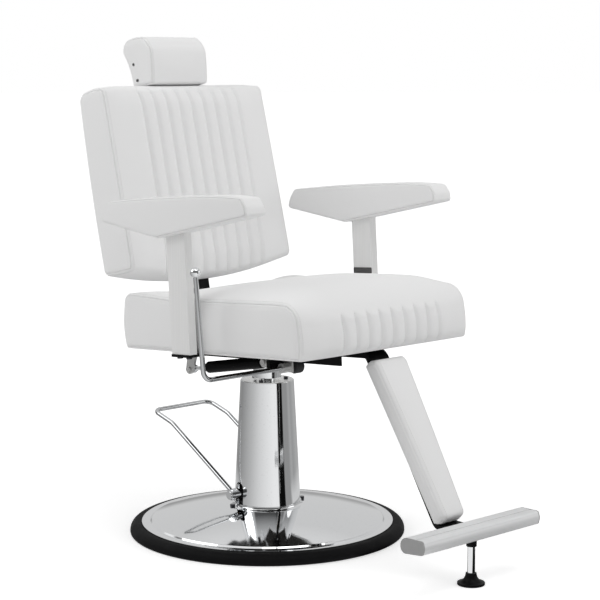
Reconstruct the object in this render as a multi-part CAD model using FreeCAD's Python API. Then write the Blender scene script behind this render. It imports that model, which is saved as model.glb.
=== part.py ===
import FreeCAD
import Part
import math
import os

# A reclining salon chair for threading and shaving, in millimetres.
# +Z is up, the chair faces -Y, and the origin is on the column's axis at the floor.
# A hydraulic column on a round base carries a seat that swivels.  The seat carries two
# armrests, a fixed leg rest and a back that leans on a torque tube, held by a gas spring.

# The whole chair
seat_height = 446.0             # floor to the seat's underside, on the column's axis
seat_tilt = 3.8                 # degrees that the seat's front edge is tipped up
back_lean = 8.6                 # degrees that the back leans against the seat

# Fits and cutters
run_gap = 0.05                  # radial gap of a shaft that turns or slides in its bore
rest_gap = 0.3                  # gap between pieces of soft or loose fit
overrun = 6.0                   # how far a cutter runs past what it cuts

# Rubber ring round the base
base_radius = 317.5
rubber_width = 26.8
rubber_height = 24.7
rubber_ledge_width = 6.7
rubber_ledge_height = 23.5
rubber_heel = 5.0
rubber_shoulder = 18.0
rubber_lip = 0.8

# Pressed base dish
dish_sheet = 3.0
dish_rim_width = 19.0
dish_step_run = 4.0
dish_step_rise = 4.5
dish_top_radius = 96.0
dish_top_height = 64.0
dish_crown = 4.0
dish_hole_radius = 25.0
base_plate_radius = 94.0
base_plate_thickness = 8.0

# Bolts of the base
base_bolt_circle = 88.0
base_bolt_angles = (162.0, 342.0)
base_bolt_head_radius = 6.0
base_bolt_head_height = 5.0
base_bolt_radius = 4.0
base_bolt_stub = 6.0            # how far the bolt stands out below the plate

# Hydraulic pump
pump_flange_radius = 66.0
pump_flange_thickness = 10.0
pump_bolt_circle = 57.5
pump_bolt_count = 4
pump_block_width = 100.0
pump_block_depth = 84.0
pump_block_top = 165.0
pump_tube_radius = 38.0
pump_bore_radius = 19.5
pump_bore_floor = 168.0
pump_drop = 96.0                # from the seat's underside down to the pump's top
pump_top_height = seat_height - pump_drop
pump_collar_radius = 52.0
pump_collar_height = 12.0
window_width = 28.0
window_front = 21.0             # from the column's axis to the window's front wall
window_floor = 78.0
window_roof = 122.0

# Ram, its guide and the swivel
ram_radius = 18.0
ram_floor = 170.0
ram_head_gap = 22.0             # from the ram's top up to the seat's underside
ram_top = seat_height - ram_head_gap
guide_radius = 22.0
guide_length = 22.0
seal_height = 4.0
seal_gap = 0.25
washer_thickness = 3.0
washer_inset = 2.0
hub_radius = 32.0
hub_lift = 10.0                 # from the pump's top up to the hub
hub_floor = pump_top_height + hub_lift

# Column cover
cover_foot_radius = 76.6
cover_top_radius = 61.6
cover_lip = 3.0                 # how far the cover stands above the pump's top
cover_top_height = pump_top_height + cover_lip
cover_sheet = 1.5
foot_ring_radius = 81.5
foot_ring_thickness = 2.0
foot_ring_height = 6.5
foot_ring_inset = 6.0
foot_ring_flare = 3.0
cover_slot_width = 33.0
cover_slot_top = 120.0
cap_thickness = 4.5
cap_screw_circle = 44.0
cap_screw_angles = (209.0, 329.0, 89.0)
cap_screw_head_radius = 5.0
cap_screw_head_height = 3.5
cap_screw_radius = 3.0
cap_screw_length = 14.0

# Foot pedal and its rocker shaft
pedal_y = 17.0
pedal_z = 95.0
pedal_arm_x = 88.0
pedal_wire_radius = 5.25
pedal_bend_y = 235.0
pedal_bend_z = 229.0
pedal_bar_y = 304.0
pedal_bar_z = 250.0
pedal_bend_radius = 60.0
pedal_corner_radius = 20.0
pedal_boss_radius = 13.0
pedal_boss_length = 20.0
rocker_radius = 8.0
rocker_end = 6.0                # how far the shaft stands out of each boss
rocker_nut_radius = 11.0
rocker_nut_length = 5.0
cam_reach = 22.0
cam_width = 24.0
cam_nose_radius = 10.0
cam_hub_radius = 10.0
bush_wall = 3.0
bush_length = 20.0
bush_flange_wall = 6.0
bush_flange_thickness = 2.0
plunger_radius = 6.0
plunger_top = 148.0
plunger_gap = 0.4               # between the cam's nose and the plunger's flat foot

# Steel frame under the seat, in the seat's own frame
channel_half_width = 65.0
channel_wall = 5.0
channel_front = -300.0
channel_rear = 165.0
channel_depth = 38.0

# Seat cushion and its board, in the seat's own frame
seat_half_width = 246.0
seat_front = -376.0
seat_rear = 192.0
seat_side_height = 115.0
seat_crown = 15.0
seat_front_bulge = 7.0
seat_rear_bulge = 8.0
seat_side_bulge = 6.0
seat_front_roll = 35.0
seat_rear_roll = 10.0
seat_bottom_roll = 5.0
board_thickness = 12.0
board_inset = 10.0

# Sewn channels of the seat and the back
channel_count = 9
channel_pitch = 36.5
channel_groove_width = 9.0
channel_groove_depth = 4.5
flat_panel_half = 160.0         # half width in which a cushion keeps its full crown

# Armrests, in the seat's own frame
arm_inner_x = 258.5
arm_width = 58.0
arm_rear_low = (179.0, 290.0)
arm_rear_high = (150.0, 328.0)
arm_top_rear = (-136.0, 344.0)
arm_top_front = (-283.0, 338.0)
arm_front_low = (-298.0, 300.0)
arm_heel = (-19.0, 256.0)
arm_corner_radius = 7.0
arm_puff = 2.5
arm_board_thickness = 9.0
arm_board_inset = 9.0
post_inner_x = 276.0
post_width = 20.0
post_depth = 60.0
post_rear = -16.0
post_wall = 2.0
bracket_thickness = 6.0
bracket_end_gap = 2.0
bracket_tab_depth = 32.0
arm_bolt_inset = 15.0
arm_bolt_head_radius = 6.5
arm_bolt_head_height = 4.0

# Torque tube, back bar and spring lug, in the seat's own frame
hinge_y = 133.0
hinge_z = -20.0
torque_radius = 11.0
torque_left = -117.0
torque_right = 75.0
hinge_bush_wall = 2.5
hinge_bush_overhang = 1.5
back_bar_width = 36.0
back_bar_thickness = 10.0
back_bar_hub_radius = 14.5
back_bar_rise = 66.0
back_bar_stop = 223.0           # from the bar's end up to the back's top edge
back_bar_bend_radius = 18.0
back_bar_lean_radius = 80.0
lug_y = 147.6
lug_z = -64.3
lug_outer_x = -113.0
lug_thickness = 6.0
lug_radius = 11.0
lug_top_radius = 15.0

# Gas spring, in the seat's own frame
spring_x = -100.0
spring_front_y = -106.0
spring_front_z = -35.0
spring_tube_radius = 13.5
spring_tube_wall = 2.5
spring_tube_start = 14.0        # from the front pin to the tube
spring_tube_length = 186.0
spring_end_wall = 8.0
spring_neck_radius = 9.0
spring_neck_length = 8.0
spring_eye_radius = 10.0
spring_eye_width = 10.0
spring_chamfer = 2.5
spring_rod_radius = 5.0
spring_rod_inside = 60.0
piston_radius = 10.5
piston_length = 12.0
pivot_pin_radius = 4.0
open_eye_gap = 2.6              # clearance of the rod's eye, the one opened pivot
pin_head_radius = 7.0
pin_head_height = 4.0
fork_gap = 1.5
fork_cheek = 5.0
fork_length = 20.0
fork_height = 22.0
spring_block_length = 10.5
spring_block_height = 24.0

# Recline lever, in the seat's own frame
lever_y = -140.0
lever_z = -49.0
lever_x = -315.0
lever_rod_radius = 5.5
lever_bend_radius = 20.0
lever_ball_y = -130.0
lever_ball_z = 173.0
lever_ball_radius = 11.5
lever_inner_x = -38.0
lever_boss_radius = 11.0
lever_boss_length = 26.0
lever_plate_thickness = 5.0
lever_plate_width = 26.0
lever_knob_radius = 16.0
lever_knob_length = 22.0
lever_knob_round = 3.0

# Leg rest, in world coordinates as (y, z)
calf_top = (-360.0, 436.0)
calf_bottom = (-545.0, 128.0)
legrest_width = 60.0
legrest_thickness = 10.0
legrest_root = -150.0           # where the arm starts, in the seat's own frame
legrest_upper_radius = 34.0
legrest_lower_radius = 19.0
legrest_bolt_rows = (-272.0, -182.0)
legrest_bolt_x = 18.0
legrest_bolt_radius = 4.0
legrest_bolt_head_radius = 7.0
legrest_bolt_head_height = 5.0
calf_thickness = 34.0
calf_top_width = 96.0
calf_bottom_width = 68.0
calf_edge_radius = 12.0
calf_end_round = 14.0
calf_crown = 4.0
calf_side_puff = 2.0
calf_board_thickness = 9.0
calf_board_inset = 9.0

# Foot bar and its support, in world coordinates
bar_half_length = 180.0
bar_front = -652.0
bar_rear = -590.0
bar_top = 130.0
bar_rear_bottom = 96.0
bar_front_bottom = 101.0
bar_wall = 3.0
bar_cap_thickness = 3.0
bar_front_bulge = 2.0
bar_edge_radius = 6.0
bar_groove_width = 3.0
bar_groove_depth = 1.5
bar_groove_start = 20.0         # from the front edge to the groove
support_inset = 31.0            # from the bar's front edge to the rod
support_y = bar_front + support_inset
support_rod_radius = 8.0
support_rod_top = 105.0
support_rod_foot = 8.0
support_collar_radius = 11.0
support_collar_drop = 14.0
support_foot_radius = 29.0
support_foot_edge = 5.0
support_foot_height = 25.0
support_neck_radius = 11.5

# Back, in the back's own frame: x, v to the rear from the front face, u up
back_y = 178.0                  # front face's foot, in the seat's own frame
back_z = 142.0
back_half_width = 240.0
back_height = 453.0
back_thickness = 86.0
back_side_bulge = 3.0
back_front_bulge = 6.0
back_rear_bulge = 3.0
back_end_bulge = 2.0
back_side_rise = 19.0           # how much higher the bottom edge is at the sides
back_corner_round = 18.0
back_edge_radius = 9.0
back_board_front = 48.0
back_board_inset = 14.0
rear_panel_proud = 4.0
rear_panel_round = 8.0

# Headrest, in the back's own frame: v, and u above the back's top edge
head_half_width = 86.0
head_front_low = (13.6, 16.0)
head_front_high = (0.6, 87.0)
head_top_front = (12.0, 127.0)
head_top_rear = (92.0, 130.0)
head_rear_tip = (104.0, 109.0)
head_rear_low = (81.0, 27.0)
head_puff = 3.0
head_corner_radii = (8.0, 8.0, 8.0, 12.0, 24.0, 14.0)
head_side_puff = 5.0
post_flat_width = 30.0
post_flat_thickness = 8.0
post_flat_front = 37.0
post_flat_drop = 117.0          # how far the post goes down into the back
post_flat_rise = 77.0           # how far it goes up into the headrest
socket_wall = 3.0
socket_length = 125.0
socket_gap = 0.1
head_board_thickness = 10.0
head_board_inset = 14.0

least_swell = 0.001             # an edge that bulges less than this is a line
side_fullness_share = 0.25      # how full a cushion stays at its side seams
seam_wide_share = 0.6           # how far out the seam lies, of the side's bulge
seam_inset_share = 3.0          # how far in the side's own outline lies
arm_side_shares = ((0, 1.0), (0.03, 0.35), (0.1, 0), (0.9, 0), (0.97, 0.35), (1, 1.0))
head_side_shares = ((0, 2.0), (0.012, 0.9), (0.045, 0), (0.955, 0), (0.988, 0.9), (1, 2.0))


def vec(x, y, z):
    """A point or direction in space."""
    return FreeCAD.Vector(x, y, z)


def box(x_range, y_range, z_range):
    """A block between two limits on each axis."""
    low = vec(min(x_range), min(y_range), min(z_range))
    size = (max(x_range) - low.x, max(y_range) - low.y, max(z_range) - low.z)
    return Part.makeBox(size[0], size[1], size[2], low)


def rod(radius, start, end):
    """A round bar from one point to another."""
    run = end.sub(start)
    return Part.makeCylinder(radius, run.Length, start, run)


def fuse(*shapes):
    """Several overlapping solids joined into one."""
    whole = shapes[0].multiFuse(list(shapes[1:]))
    return whole.removeSplitter()


def group(shapes):
    """Separate solids kept side by side in one piece."""
    return Part.makeCompound(list(shapes))


def mirror(shape):
    """The same shape on the other side of the chair."""
    return shape.mirror(vec(0, 0, 0), vec(1, 0, 0))


def both_sides(shape):
    """A shape and its mirror image."""
    return group([shape, mirror(shape)])


def unit(a, b):
    """The direction from a to b in a plane, and the distance."""
    length = math.hypot(b[0] - a[0], b[1] - a[1])
    return ((b[0] - a[0]) / length, (b[1] - a[1]) / length), length


def inset_corners(corners, inset):
    """The corners of an anticlockwise outline with each side moved inward."""
    moved = []
    count = len(corners)
    for index in range(count):
        before = corners[index - 1]
        here = corners[index]
        after = corners[(index + 1) % count]
        d1 = unit(before, here)[0]
        d2 = unit(here, after)[0]
        n1 = (-d1[1], d1[0])
        n2 = (-d2[1], d2[0])
        spread = 1.0 + n1[0] * n2[0] + n1[1] * n2[1]
        moved.append((here[0] + inset * (n1[0] + n2[0]) / spread,
                      here[1] + inset * (n1[1] + n2[1]) / spread))
    return moved


def soft_points(corners, radii, bulges):
    """Rounded corners of an outline, with the bulge of the edge after each point."""
    count = len(corners)
    points = []
    swells = []
    for index in range(count):
        here = corners[index]
        radius = radii[index]
        if radius:
            d1 = unit(here, corners[index - 1])[0]
            d2 = unit(here, corners[(index + 1) % count])[0]
            cosine = max(-1.0, min(1.0, d1[0] * d2[0] + d1[1] * d2[1]))
            half = math.acos(cosine) / 2.0
            trim = radius / math.tan(half)
            turn = d1[0] * d2[1] - d1[1] * d2[0]
            sag = math.copysign(radius * (1.0 - math.sin(half)), -turn)
            points.append((here[0] + d1[0] * trim, here[1] + d1[1] * trim))
            swells.append(sag)
            points.append((here[0] + d2[0] * trim, here[1] + d2[1] * trim))
        else:
            points.append(here)
        swells.append(bulges[index])
    return points, swells


def outline(corners, radii=None, bulges=None, place=None):
    """A closed wire of lines and arcs; a side's bulge is outward of its line."""
    count = len(corners)
    radii = radii or [0] * count
    bulges = bulges or [0] * count
    points, swells = soft_points(corners, radii, bulges)
    edges = []
    for index, swell in enumerate(swells):
        a = points[index]
        b = points[(index + 1) % len(points)]
        start = place(a[0], a[1])
        end = place(b[0], b[1])
        if abs(swell) > least_swell:
            way = unit(a, b)[0]
            middle = place((a[0] + b[0]) / 2.0 + way[1] * swell,
                           (a[1] + b[1]) / 2.0 - way[0] * swell)
            edges.append(Part.Arc(start, middle, end).toShape())
        else:
            edges.append(Part.LineSegment(start, end).toShape())
    return Part.Wire(edges)


def across(x):
    """Puts an outline of (y, z) on the plane at x."""
    return lambda y, z: vec(x, y, z)


def prism(x_range, corners, radii=None, bulges=None):
    """A solid with a (y, z) outline, from one x to another."""
    wire = outline(corners, radii, bulges, across(min(x_range)))
    return Part.Face(wire).extrude(vec(max(x_range) - min(x_range), 0, 0))


def turned(corners, radii=None, bulges=None):
    """A solid of revolution about Z from an outline of (radius, z)."""
    wire = outline(corners, radii, bulges, lambda r, z: vec(r, 0, z))
    return Part.Face(wire).revolve(vec(0, 0, 0), vec(0, 0, 1), 360)


def bent_path(points, radii):
    """An open path of straight runs joined by tangent arcs."""
    edges = []
    start = points[0]
    for index in range(1, len(points) - 1):
        here = points[index]
        d1 = points[index - 1].sub(here).normalize()
        d2 = points[index + 1].sub(here).normalize()
        half = d1.getAngle(d2) / 2.0
        trim = radii[index - 1] / math.tan(half)
        inward = d1.add(d2).normalize()
        reach = radii[index - 1] / math.sin(half) - radii[index - 1]
        arc_start = here.add(d1.multiply(trim))
        arc_end = here.add(d2.multiply(trim))
        middle = here.add(inward.multiply(reach))
        edges.append(Part.LineSegment(start, arc_start).toShape())
        edges.append(Part.Arc(arc_start, middle, arc_end).toShape())
        start = arc_end
    edges.append(Part.LineSegment(start, points[-1]).toShape())
    return Part.Wire(edges)


def bent_rod(points, radii, radius):
    """Round wire along a bent path."""
    path = bent_path(points, radii)
    way = points[1].sub(points[0])
    circle = Part.Wire([Part.Circle(points[0], way, radius).toShape()])
    return path.makePipeShell([circle], True, False)


def bent_strap(points, radii, width, thickness):
    """Flat bar along a bent path in a plane of constant x."""
    path = bent_path(points, radii)
    way = points[1].sub(points[0]).normalize()
    side = vec(width / 2.0, 0, 0)
    rise = way.cross(vec(thickness / 2.0, 0, 0))
    start = points[0]
    corners = [start.add(side).add(rise), start.sub(side).add(rise),
               start.sub(side).sub(rise), start.add(side).sub(rise)]
    section = Part.makePolygon(corners + corners[:1])
    return path.makePipeShell([section], True, False)


def in_seat(shape):
    """Moves a shape from the seat's own frame to its place in the chair."""
    shape.rotate(vec(0, 0, 0), vec(1, 0, 0), -seat_tilt)
    shape.translate(vec(0, 0, seat_height))
    return shape


def seat_point(y, z):
    """The (y, z) in the chair of a point in the seat's own frame."""
    tilt = math.radians(seat_tilt)
    return (y * math.cos(tilt) + z * math.sin(tilt),
            seat_height - y * math.sin(tilt) + z * math.cos(tilt))


def back_point(v, u):
    """The (y, z) in the seat's own frame of a point in the back's frame."""
    lean = math.radians(back_lean)
    return (back_y + v * math.cos(lean) + u * math.sin(lean),
            back_z - v * math.sin(lean) + u * math.cos(lean))


def in_back(shape):
    """Moves a shape from the back's own frame to its place in the chair."""
    shape.rotate(vec(0, 0, 0), vec(1, 0, 0), -back_lean)
    shape.translate(vec(0, back_y, back_z))
    return in_seat(shape)


def on_circle(radius, angle, z):
    """A point at an angle round the column."""
    turn = math.radians(angle)
    return vec(radius * math.cos(turn), radius * math.sin(turn), z)


def screw(at, way, head_radius, head_height, radius, length):
    """A plain screw whose head stands on a face and whose shank goes along way."""
    way = vec(way.x, way.y, way.z).normalize()
    head = rod(head_radius, at.sub(way * head_height), at)
    shank = rod(radius, at, at.add(way * length))
    return head.fuse(shank).removeSplitter()


def end_shares(steps):
    """Where the rounded end of a cushion has its stations, and how full it is there."""
    shares = []
    for step in range(steps + 1):
        turn = math.pi / 2.0 * step / steps
        shares.append((math.sin(turn), math.cos(turn)))
    return shares


# Base


def floor_ring():
    """Rubber ring that the chair stands on, with a ledge for the dish's rim."""
    inner = base_radius - rubber_width
    corners = [(inner - rubber_ledge_width, 0), (base_radius, 0), (base_radius, rubber_height),
               (inner, rubber_height), (inner, rubber_ledge_height),
               (inner - rubber_ledge_width, rubber_ledge_height)]
    return turned(corners, [0, rubber_heel, rubber_shoulder, rubber_lip, 0, 0])


def dish_outline():
    """Rim, step, dome and flat top of the dish, from the centre outward."""
    rim = base_radius - rubber_width - rest_gap
    rim_top = rubber_ledge_height + dish_sheet
    step_foot = rim - dish_rim_width
    step_head = step_foot - dish_step_run
    return [(dish_hole_radius, dish_top_height), (dish_top_radius, dish_top_height),
            (step_head, rim_top + dish_step_rise), (step_foot, rim_top), (rim, rim_top)]


def base_dish():
    """Polished steel dome, one sheet thick, with holes for its bolts."""
    top = dish_outline()
    under = [(r, z - dish_sheet) for r, z in top]
    corners = under + top[::-1]
    bulges = [0, -dish_crown, 0, 0, 0, 0, 0, dish_crown, 0, 0]
    radii = [0, 0, 0, 0, 0, 0, dish_step_rise / 2.0, dish_step_rise / 2.0, 0, 0]
    dish = turned(corners, radii, bulges)
    return dish.cut(base_bolt_holes())


def base_bolt_holes():
    """Cutters for the bolts beside the cover's foot."""
    holes = []
    low = dish_top_height - dish_sheet - base_plate_thickness - overrun
    for angle in base_bolt_angles:
        start = on_circle(base_bolt_circle, angle, low)
        end = on_circle(base_bolt_circle, angle, dish_top_height + overrun)
        holes.append(rod(base_bolt_radius + rest_gap, start, end))
    return group(holes)


def base_plate():
    """Thick disc under the dish's flat top, which stiffens it."""
    top = dish_top_height - dish_sheet
    disc = rod(base_plate_radius, vec(0, 0, top - base_plate_thickness), vec(0, 0, top))
    return disc.cut(base_bolt_holes())


def base_bolts():
    """Bolts just outside the column cover, and those of the pump's flange inside it."""
    bolts = []
    length = dish_sheet + base_plate_thickness + base_bolt_stub
    for angle in base_bolt_angles:
        at = on_circle(base_bolt_circle, angle, dish_top_height)
        bolts.append(screw(at, vec(0, 0, -1), base_bolt_head_radius, base_bolt_head_height,
                           base_bolt_radius, length))
    flange_top = dish_top_height + pump_flange_thickness
    for index in range(pump_bolt_count):
        at = on_circle(pump_bolt_circle, 360.0 * index / pump_bolt_count, flange_top)
        bolts.append(rod(base_bolt_head_radius, at, at.add(vec(0, 0, base_bolt_head_height))))
    return group(bolts)


def pump_body():
    """Flange, block with the cam's window, and tube with the ram's bore."""
    flange_top = dish_top_height + pump_flange_thickness
    half_width = pump_block_width / 2.0
    half_depth = pump_block_depth / 2.0
    flange = rod(pump_flange_radius, vec(0, 0, dish_top_height), vec(0, 0, flange_top))
    block = box((-half_width, half_width), (-half_depth, half_depth),
                (dish_top_height, pump_block_top))
    tube = rod(pump_tube_radius, vec(0, 0, dish_top_height), vec(0, 0, pump_top_height))
    collar = rod(pump_collar_radius, vec(0, 0, pump_top_height - pump_collar_height),
                 vec(0, 0, pump_top_height))
    body = fuse(flange, block, tube, collar)
    bore = rod(pump_bore_radius, vec(0, 0, pump_bore_floor), vec(0, 0, pump_top_height + overrun))
    guide_floor = pump_top_height - guide_length - seal_height
    counterbore = rod(guide_radius, vec(0, 0, guide_floor),
                      vec(0, 0, pump_top_height + overrun))
    window = box((-window_width / 2.0, window_width / 2.0),
                 (-window_front, half_depth + overrun), (window_floor, window_roof))
    cross_bore = rod(rocker_radius + bush_wall, vec(-half_width - overrun, pedal_y, pedal_z),
                     vec(half_width + overrun, pedal_y, pedal_z))
    plunger_y = pedal_y - cam_reach
    plunger_bore = rod(plunger_radius + run_gap, vec(0, plunger_y, window_roof - overrun),
                       vec(0, plunger_y, pump_block_top - overrun))
    screws = cap_screw_cutters(cap_screw_radius)
    return body.cut([bore, counterbore, window, cross_bore, plunger_bore, screws])


def cap_screw_cutters(radius):
    """Holes for the cap's screws in the cap and in the pump's collar."""
    holes = []
    for angle in cap_screw_angles:
        end = pump_top_height + cap_thickness
        start = end - cap_screw_length
        holes.append(rod(radius, on_circle(cap_screw_circle, angle, start),
                         on_circle(cap_screw_circle, angle, end + overrun)))
    return group(holes)


def ram_guide_bush():
    """Bronze bush that guides the ram, on a shoulder in the pump's tube."""
    low = pump_top_height - guide_length - seal_height
    return turned([(ram_radius + run_gap, low), (guide_radius - run_gap, low),
                   (guide_radius - run_gap, low + guide_length),
                   (ram_radius + run_gap, low + guide_length)])


def ram_seal():
    """Rubber seal on top of the guide bush."""
    low = pump_top_height - seal_height
    return turned([(ram_radius + seal_gap, low), (guide_radius - run_gap, low),
                   (guide_radius - run_gap, pump_top_height),
                   (ram_radius + seal_gap, pump_top_height)])


def column_cover():
    """Tapered chrome tube round the pump, slotted on both sides for the pedal's shaft."""
    low = dish_top_height + foot_ring_thickness
    tube = turned([(cover_foot_radius - cover_sheet, low), (cover_foot_radius, low),
                   (cover_top_radius, cover_top_height),
                   (cover_top_radius - cover_sheet, cover_top_height)])
    half = cover_slot_width / 2.0
    reach = cover_foot_radius + overrun
    corners = [(pedal_y - half, low - overrun), (pedal_y + half, low - overrun),
               (pedal_y + half, cover_slot_top), (pedal_y - half, cover_slot_top)]
    slot_round = half - rest_gap
    slot = prism((-reach, reach), corners, [0, 0, slot_round, slot_round])
    return tube.cut(slot)


def cover_foot_ring():
    """Flared ring that the cover stands in."""
    low = dish_top_height
    lip = cover_foot_radius + rest_gap
    inner = cover_foot_radius - foot_ring_inset
    corners = [(inner, low), (foot_ring_radius, low), (lip + foot_ring_flare / 2.0, low + foot_ring_height),
               (lip, low + foot_ring_height), (lip, low + foot_ring_thickness),
               (inner, low + foot_ring_thickness)]
    return turned(corners, None, [0, -foot_ring_flare / 4.0, 0, 0, 0, 0])


def column_cap():
    """Plate that closes the cover round the ram."""
    top = pump_top_height + cap_thickness
    radius = cover_top_radius - cover_sheet - rest_gap
    disc = rod(radius, vec(0, 0, pump_top_height), vec(0, 0, top))
    hole = rod(ram_radius + seal_gap, vec(0, 0, pump_top_height - overrun),
               vec(0, 0, top + overrun))
    return disc.cut([hole, cap_screw_cutters(cap_screw_radius + run_gap)])


def cap_screws():
    """Dark screws that hold the cap plate."""
    at_height = pump_top_height + cap_thickness
    screws = []
    for angle in cap_screw_angles:
        screws.append(screw(on_circle(cap_screw_circle, angle, at_height), vec(0, 0, -1),
                            cap_screw_head_radius, cap_screw_head_height,
                            cap_screw_radius - run_gap, cap_screw_length - run_gap))
    return group(screws)


def shaft_bushes():
    """Flanged bushes for the rocker shaft in the pump's block."""
    half = pump_block_width / 2.0
    outer = rocker_radius + bush_wall - run_gap
    sleeve = rod(outer, vec(half - bush_length, pedal_y, pedal_z), vec(half, pedal_y, pedal_z))
    flange = rod(outer + bush_flange_wall / 2.0, vec(half, pedal_y, pedal_z),
                 vec(half + bush_flange_thickness, pedal_y, pedal_z))
    bore = rod(rocker_radius + run_gap, vec(half - bush_length - overrun, pedal_y, pedal_z),
               vec(half + overrun, pedal_y, pedal_z))
    return both_sides(sleeve.fuse(flange).cut(bore))


# Pedal


def rocker_shaft():
    """Shaft across the column with the cam that works the pump."""
    reach = pedal_arm_x + pedal_boss_length / 2.0 + rocker_end
    shaft = rod(rocker_radius, vec(-reach, pedal_y, pedal_z), vec(reach, pedal_y, pedal_z))
    half = cam_width / 2.0
    nose_y = pedal_y - cam_reach
    hub = rod(cam_hub_radius, vec(-half, pedal_y, pedal_z), vec(half, pedal_y, pedal_z))
    nose = rod(cam_nose_radius, vec(-half, nose_y, pedal_z), vec(half, nose_y, pedal_z))
    slant = math.asin((cam_hub_radius - cam_nose_radius) / cam_reach)
    rise = math.cos(slant)
    run = math.sin(slant)
    web = prism((-half, half),
                [(nose_y - cam_nose_radius * run, pedal_z - cam_nose_radius * rise),
                 (pedal_y - cam_hub_radius * run, pedal_z - cam_hub_radius * rise),
                 (pedal_y - cam_hub_radius * run, pedal_z + cam_hub_radius * rise),
                 (nose_y - cam_nose_radius * run, pedal_z + cam_nose_radius * rise)])
    return fuse(shaft, hub, nose, web)


def pedal_nuts():
    """Nuts on the ends of the rocker shaft."""
    start = pedal_arm_x + pedal_boss_length / 2.0
    nut = rod(rocker_nut_radius, vec(start, pedal_y, pedal_z),
              vec(start + rocker_nut_length, pedal_y, pedal_z))
    hole = rod(rocker_radius + run_gap, vec(start - overrun, pedal_y, pedal_z),
               vec(start + rocker_nut_length + overrun, pedal_y, pedal_z))
    return both_sides(nut.cut(hole))


def pedal_loop():
    """Bent wire loop with a boss on each arm for the shaft."""
    points = [vec(-pedal_arm_x, pedal_y, pedal_z), vec(-pedal_arm_x, pedal_bend_y, pedal_bend_z),
              vec(-pedal_arm_x, pedal_bar_y, pedal_bar_z), vec(pedal_arm_x, pedal_bar_y, pedal_bar_z),
              vec(pedal_arm_x, pedal_bend_y, pedal_bend_z), vec(pedal_arm_x, pedal_y, pedal_z)]
    radii = [pedal_bend_radius, pedal_corner_radius, pedal_corner_radius, pedal_bend_radius]
    wire = bent_rod(points, radii, pedal_wire_radius)
    half = pedal_boss_length / 2.0
    bosses = []
    holes = []
    for side in (-pedal_arm_x, pedal_arm_x):
        bosses.append(rod(pedal_boss_radius, vec(side - half, pedal_y, pedal_z),
                          vec(side + half, pedal_y, pedal_z)))
        holes.append(rod(rocker_radius + run_gap, vec(side - half - overrun, pedal_y, pedal_z),
                         vec(side + half + overrun, pedal_y, pedal_z)))
    return fuse(wire, bosses[0], bosses[1]).cut(holes)


def pump_plunger():
    """Small piston that the cam's nose pushes up."""
    y = pedal_y - cam_reach
    low = pedal_z + cam_nose_radius + plunger_gap
    return rod(plunger_radius, vec(0, y, low), vec(0, y, plunger_top))


# Ram


def ram():
    """Polished ram, from the pump's bore up into the swivel hub."""
    return rod(ram_radius, vec(0, 0, ram_floor), vec(0, 0, ram_top))


def thrust_washer():
    """Washer on the ram's end that the hub turns on."""
    return rod(ram_radius - washer_inset, vec(0, 0, ram_top),
               vec(0, 0, ram_top + washer_thickness))


# Seat


def swivel_hub():
    """Round hub welded under the frame, bored for the ram."""
    hub = rod(hub_radius, vec(0, 0, hub_floor), vec(0, 0, seat_height + overrun))
    bore = rod(ram_radius + run_gap, vec(0, 0, hub_floor - overrun),
               vec(0, 0, ram_top + washer_thickness))
    reach = hub_radius + overrun
    above = in_seat(box((-reach, reach), (-reach, reach),
                        (-channel_wall, hub_radius + overrun)))
    return hub.cut([bore, above])


def under_frame():
    """Steel channel under the seat that carries hub, arms, leg rest and back."""
    half = channel_half_width
    inner = half - channel_wall
    plate = box((-half, half), (channel_front, channel_rear), (-channel_wall, 0))
    left = box((-half, -inner), (channel_front, channel_rear), (-channel_depth, 0))
    right = box((inner, half), (channel_front, channel_rear), (-channel_depth, 0))
    frame = fuse(plate, left, right)
    reach = half + overrun
    hinge = rod(torque_radius + hinge_bush_wall, vec(-reach, hinge_y, hinge_z),
                vec(reach, hinge_y, hinge_z))
    return in_seat(frame.cut([hinge, legrest_bolt_holes()]))


def legrest_bolt_holes():
    """Holes for the leg rest's bolts, in the seat's own frame."""
    holes = []
    for y in legrest_bolt_rows:
        for x in (-legrest_bolt_x, legrest_bolt_x):
            holes.append(rod(legrest_bolt_radius + rest_gap,
                             vec(x, y, -channel_wall - legrest_thickness - overrun),
                             vec(x, y, overrun)))
    return group(holes)


def seat_board():
    """Plywood board under the seat's foam."""
    half = seat_half_width - board_inset
    return in_seat(box((-half, half), (seat_front + board_inset, seat_rear - board_inset),
                       (0, board_thickness)))


def cushion_stations(half_width, bulge, steps=3):
    """Stations across a cushion: x, how far the outline is drawn in, how full it is."""
    side = []
    for along, full in end_shares(steps):
        x = flat_panel_half + (half_width - flat_panel_half) * along
        side.append((x, 0, full))
    side.append((half_width + bulge * seam_wide_share, bulge, 0))
    side.append((half_width + bulge, bulge * seam_inset_share, 0))
    left = [(-x, inset, full) for x, inset, full in side[::-1]]
    return left + side


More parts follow.
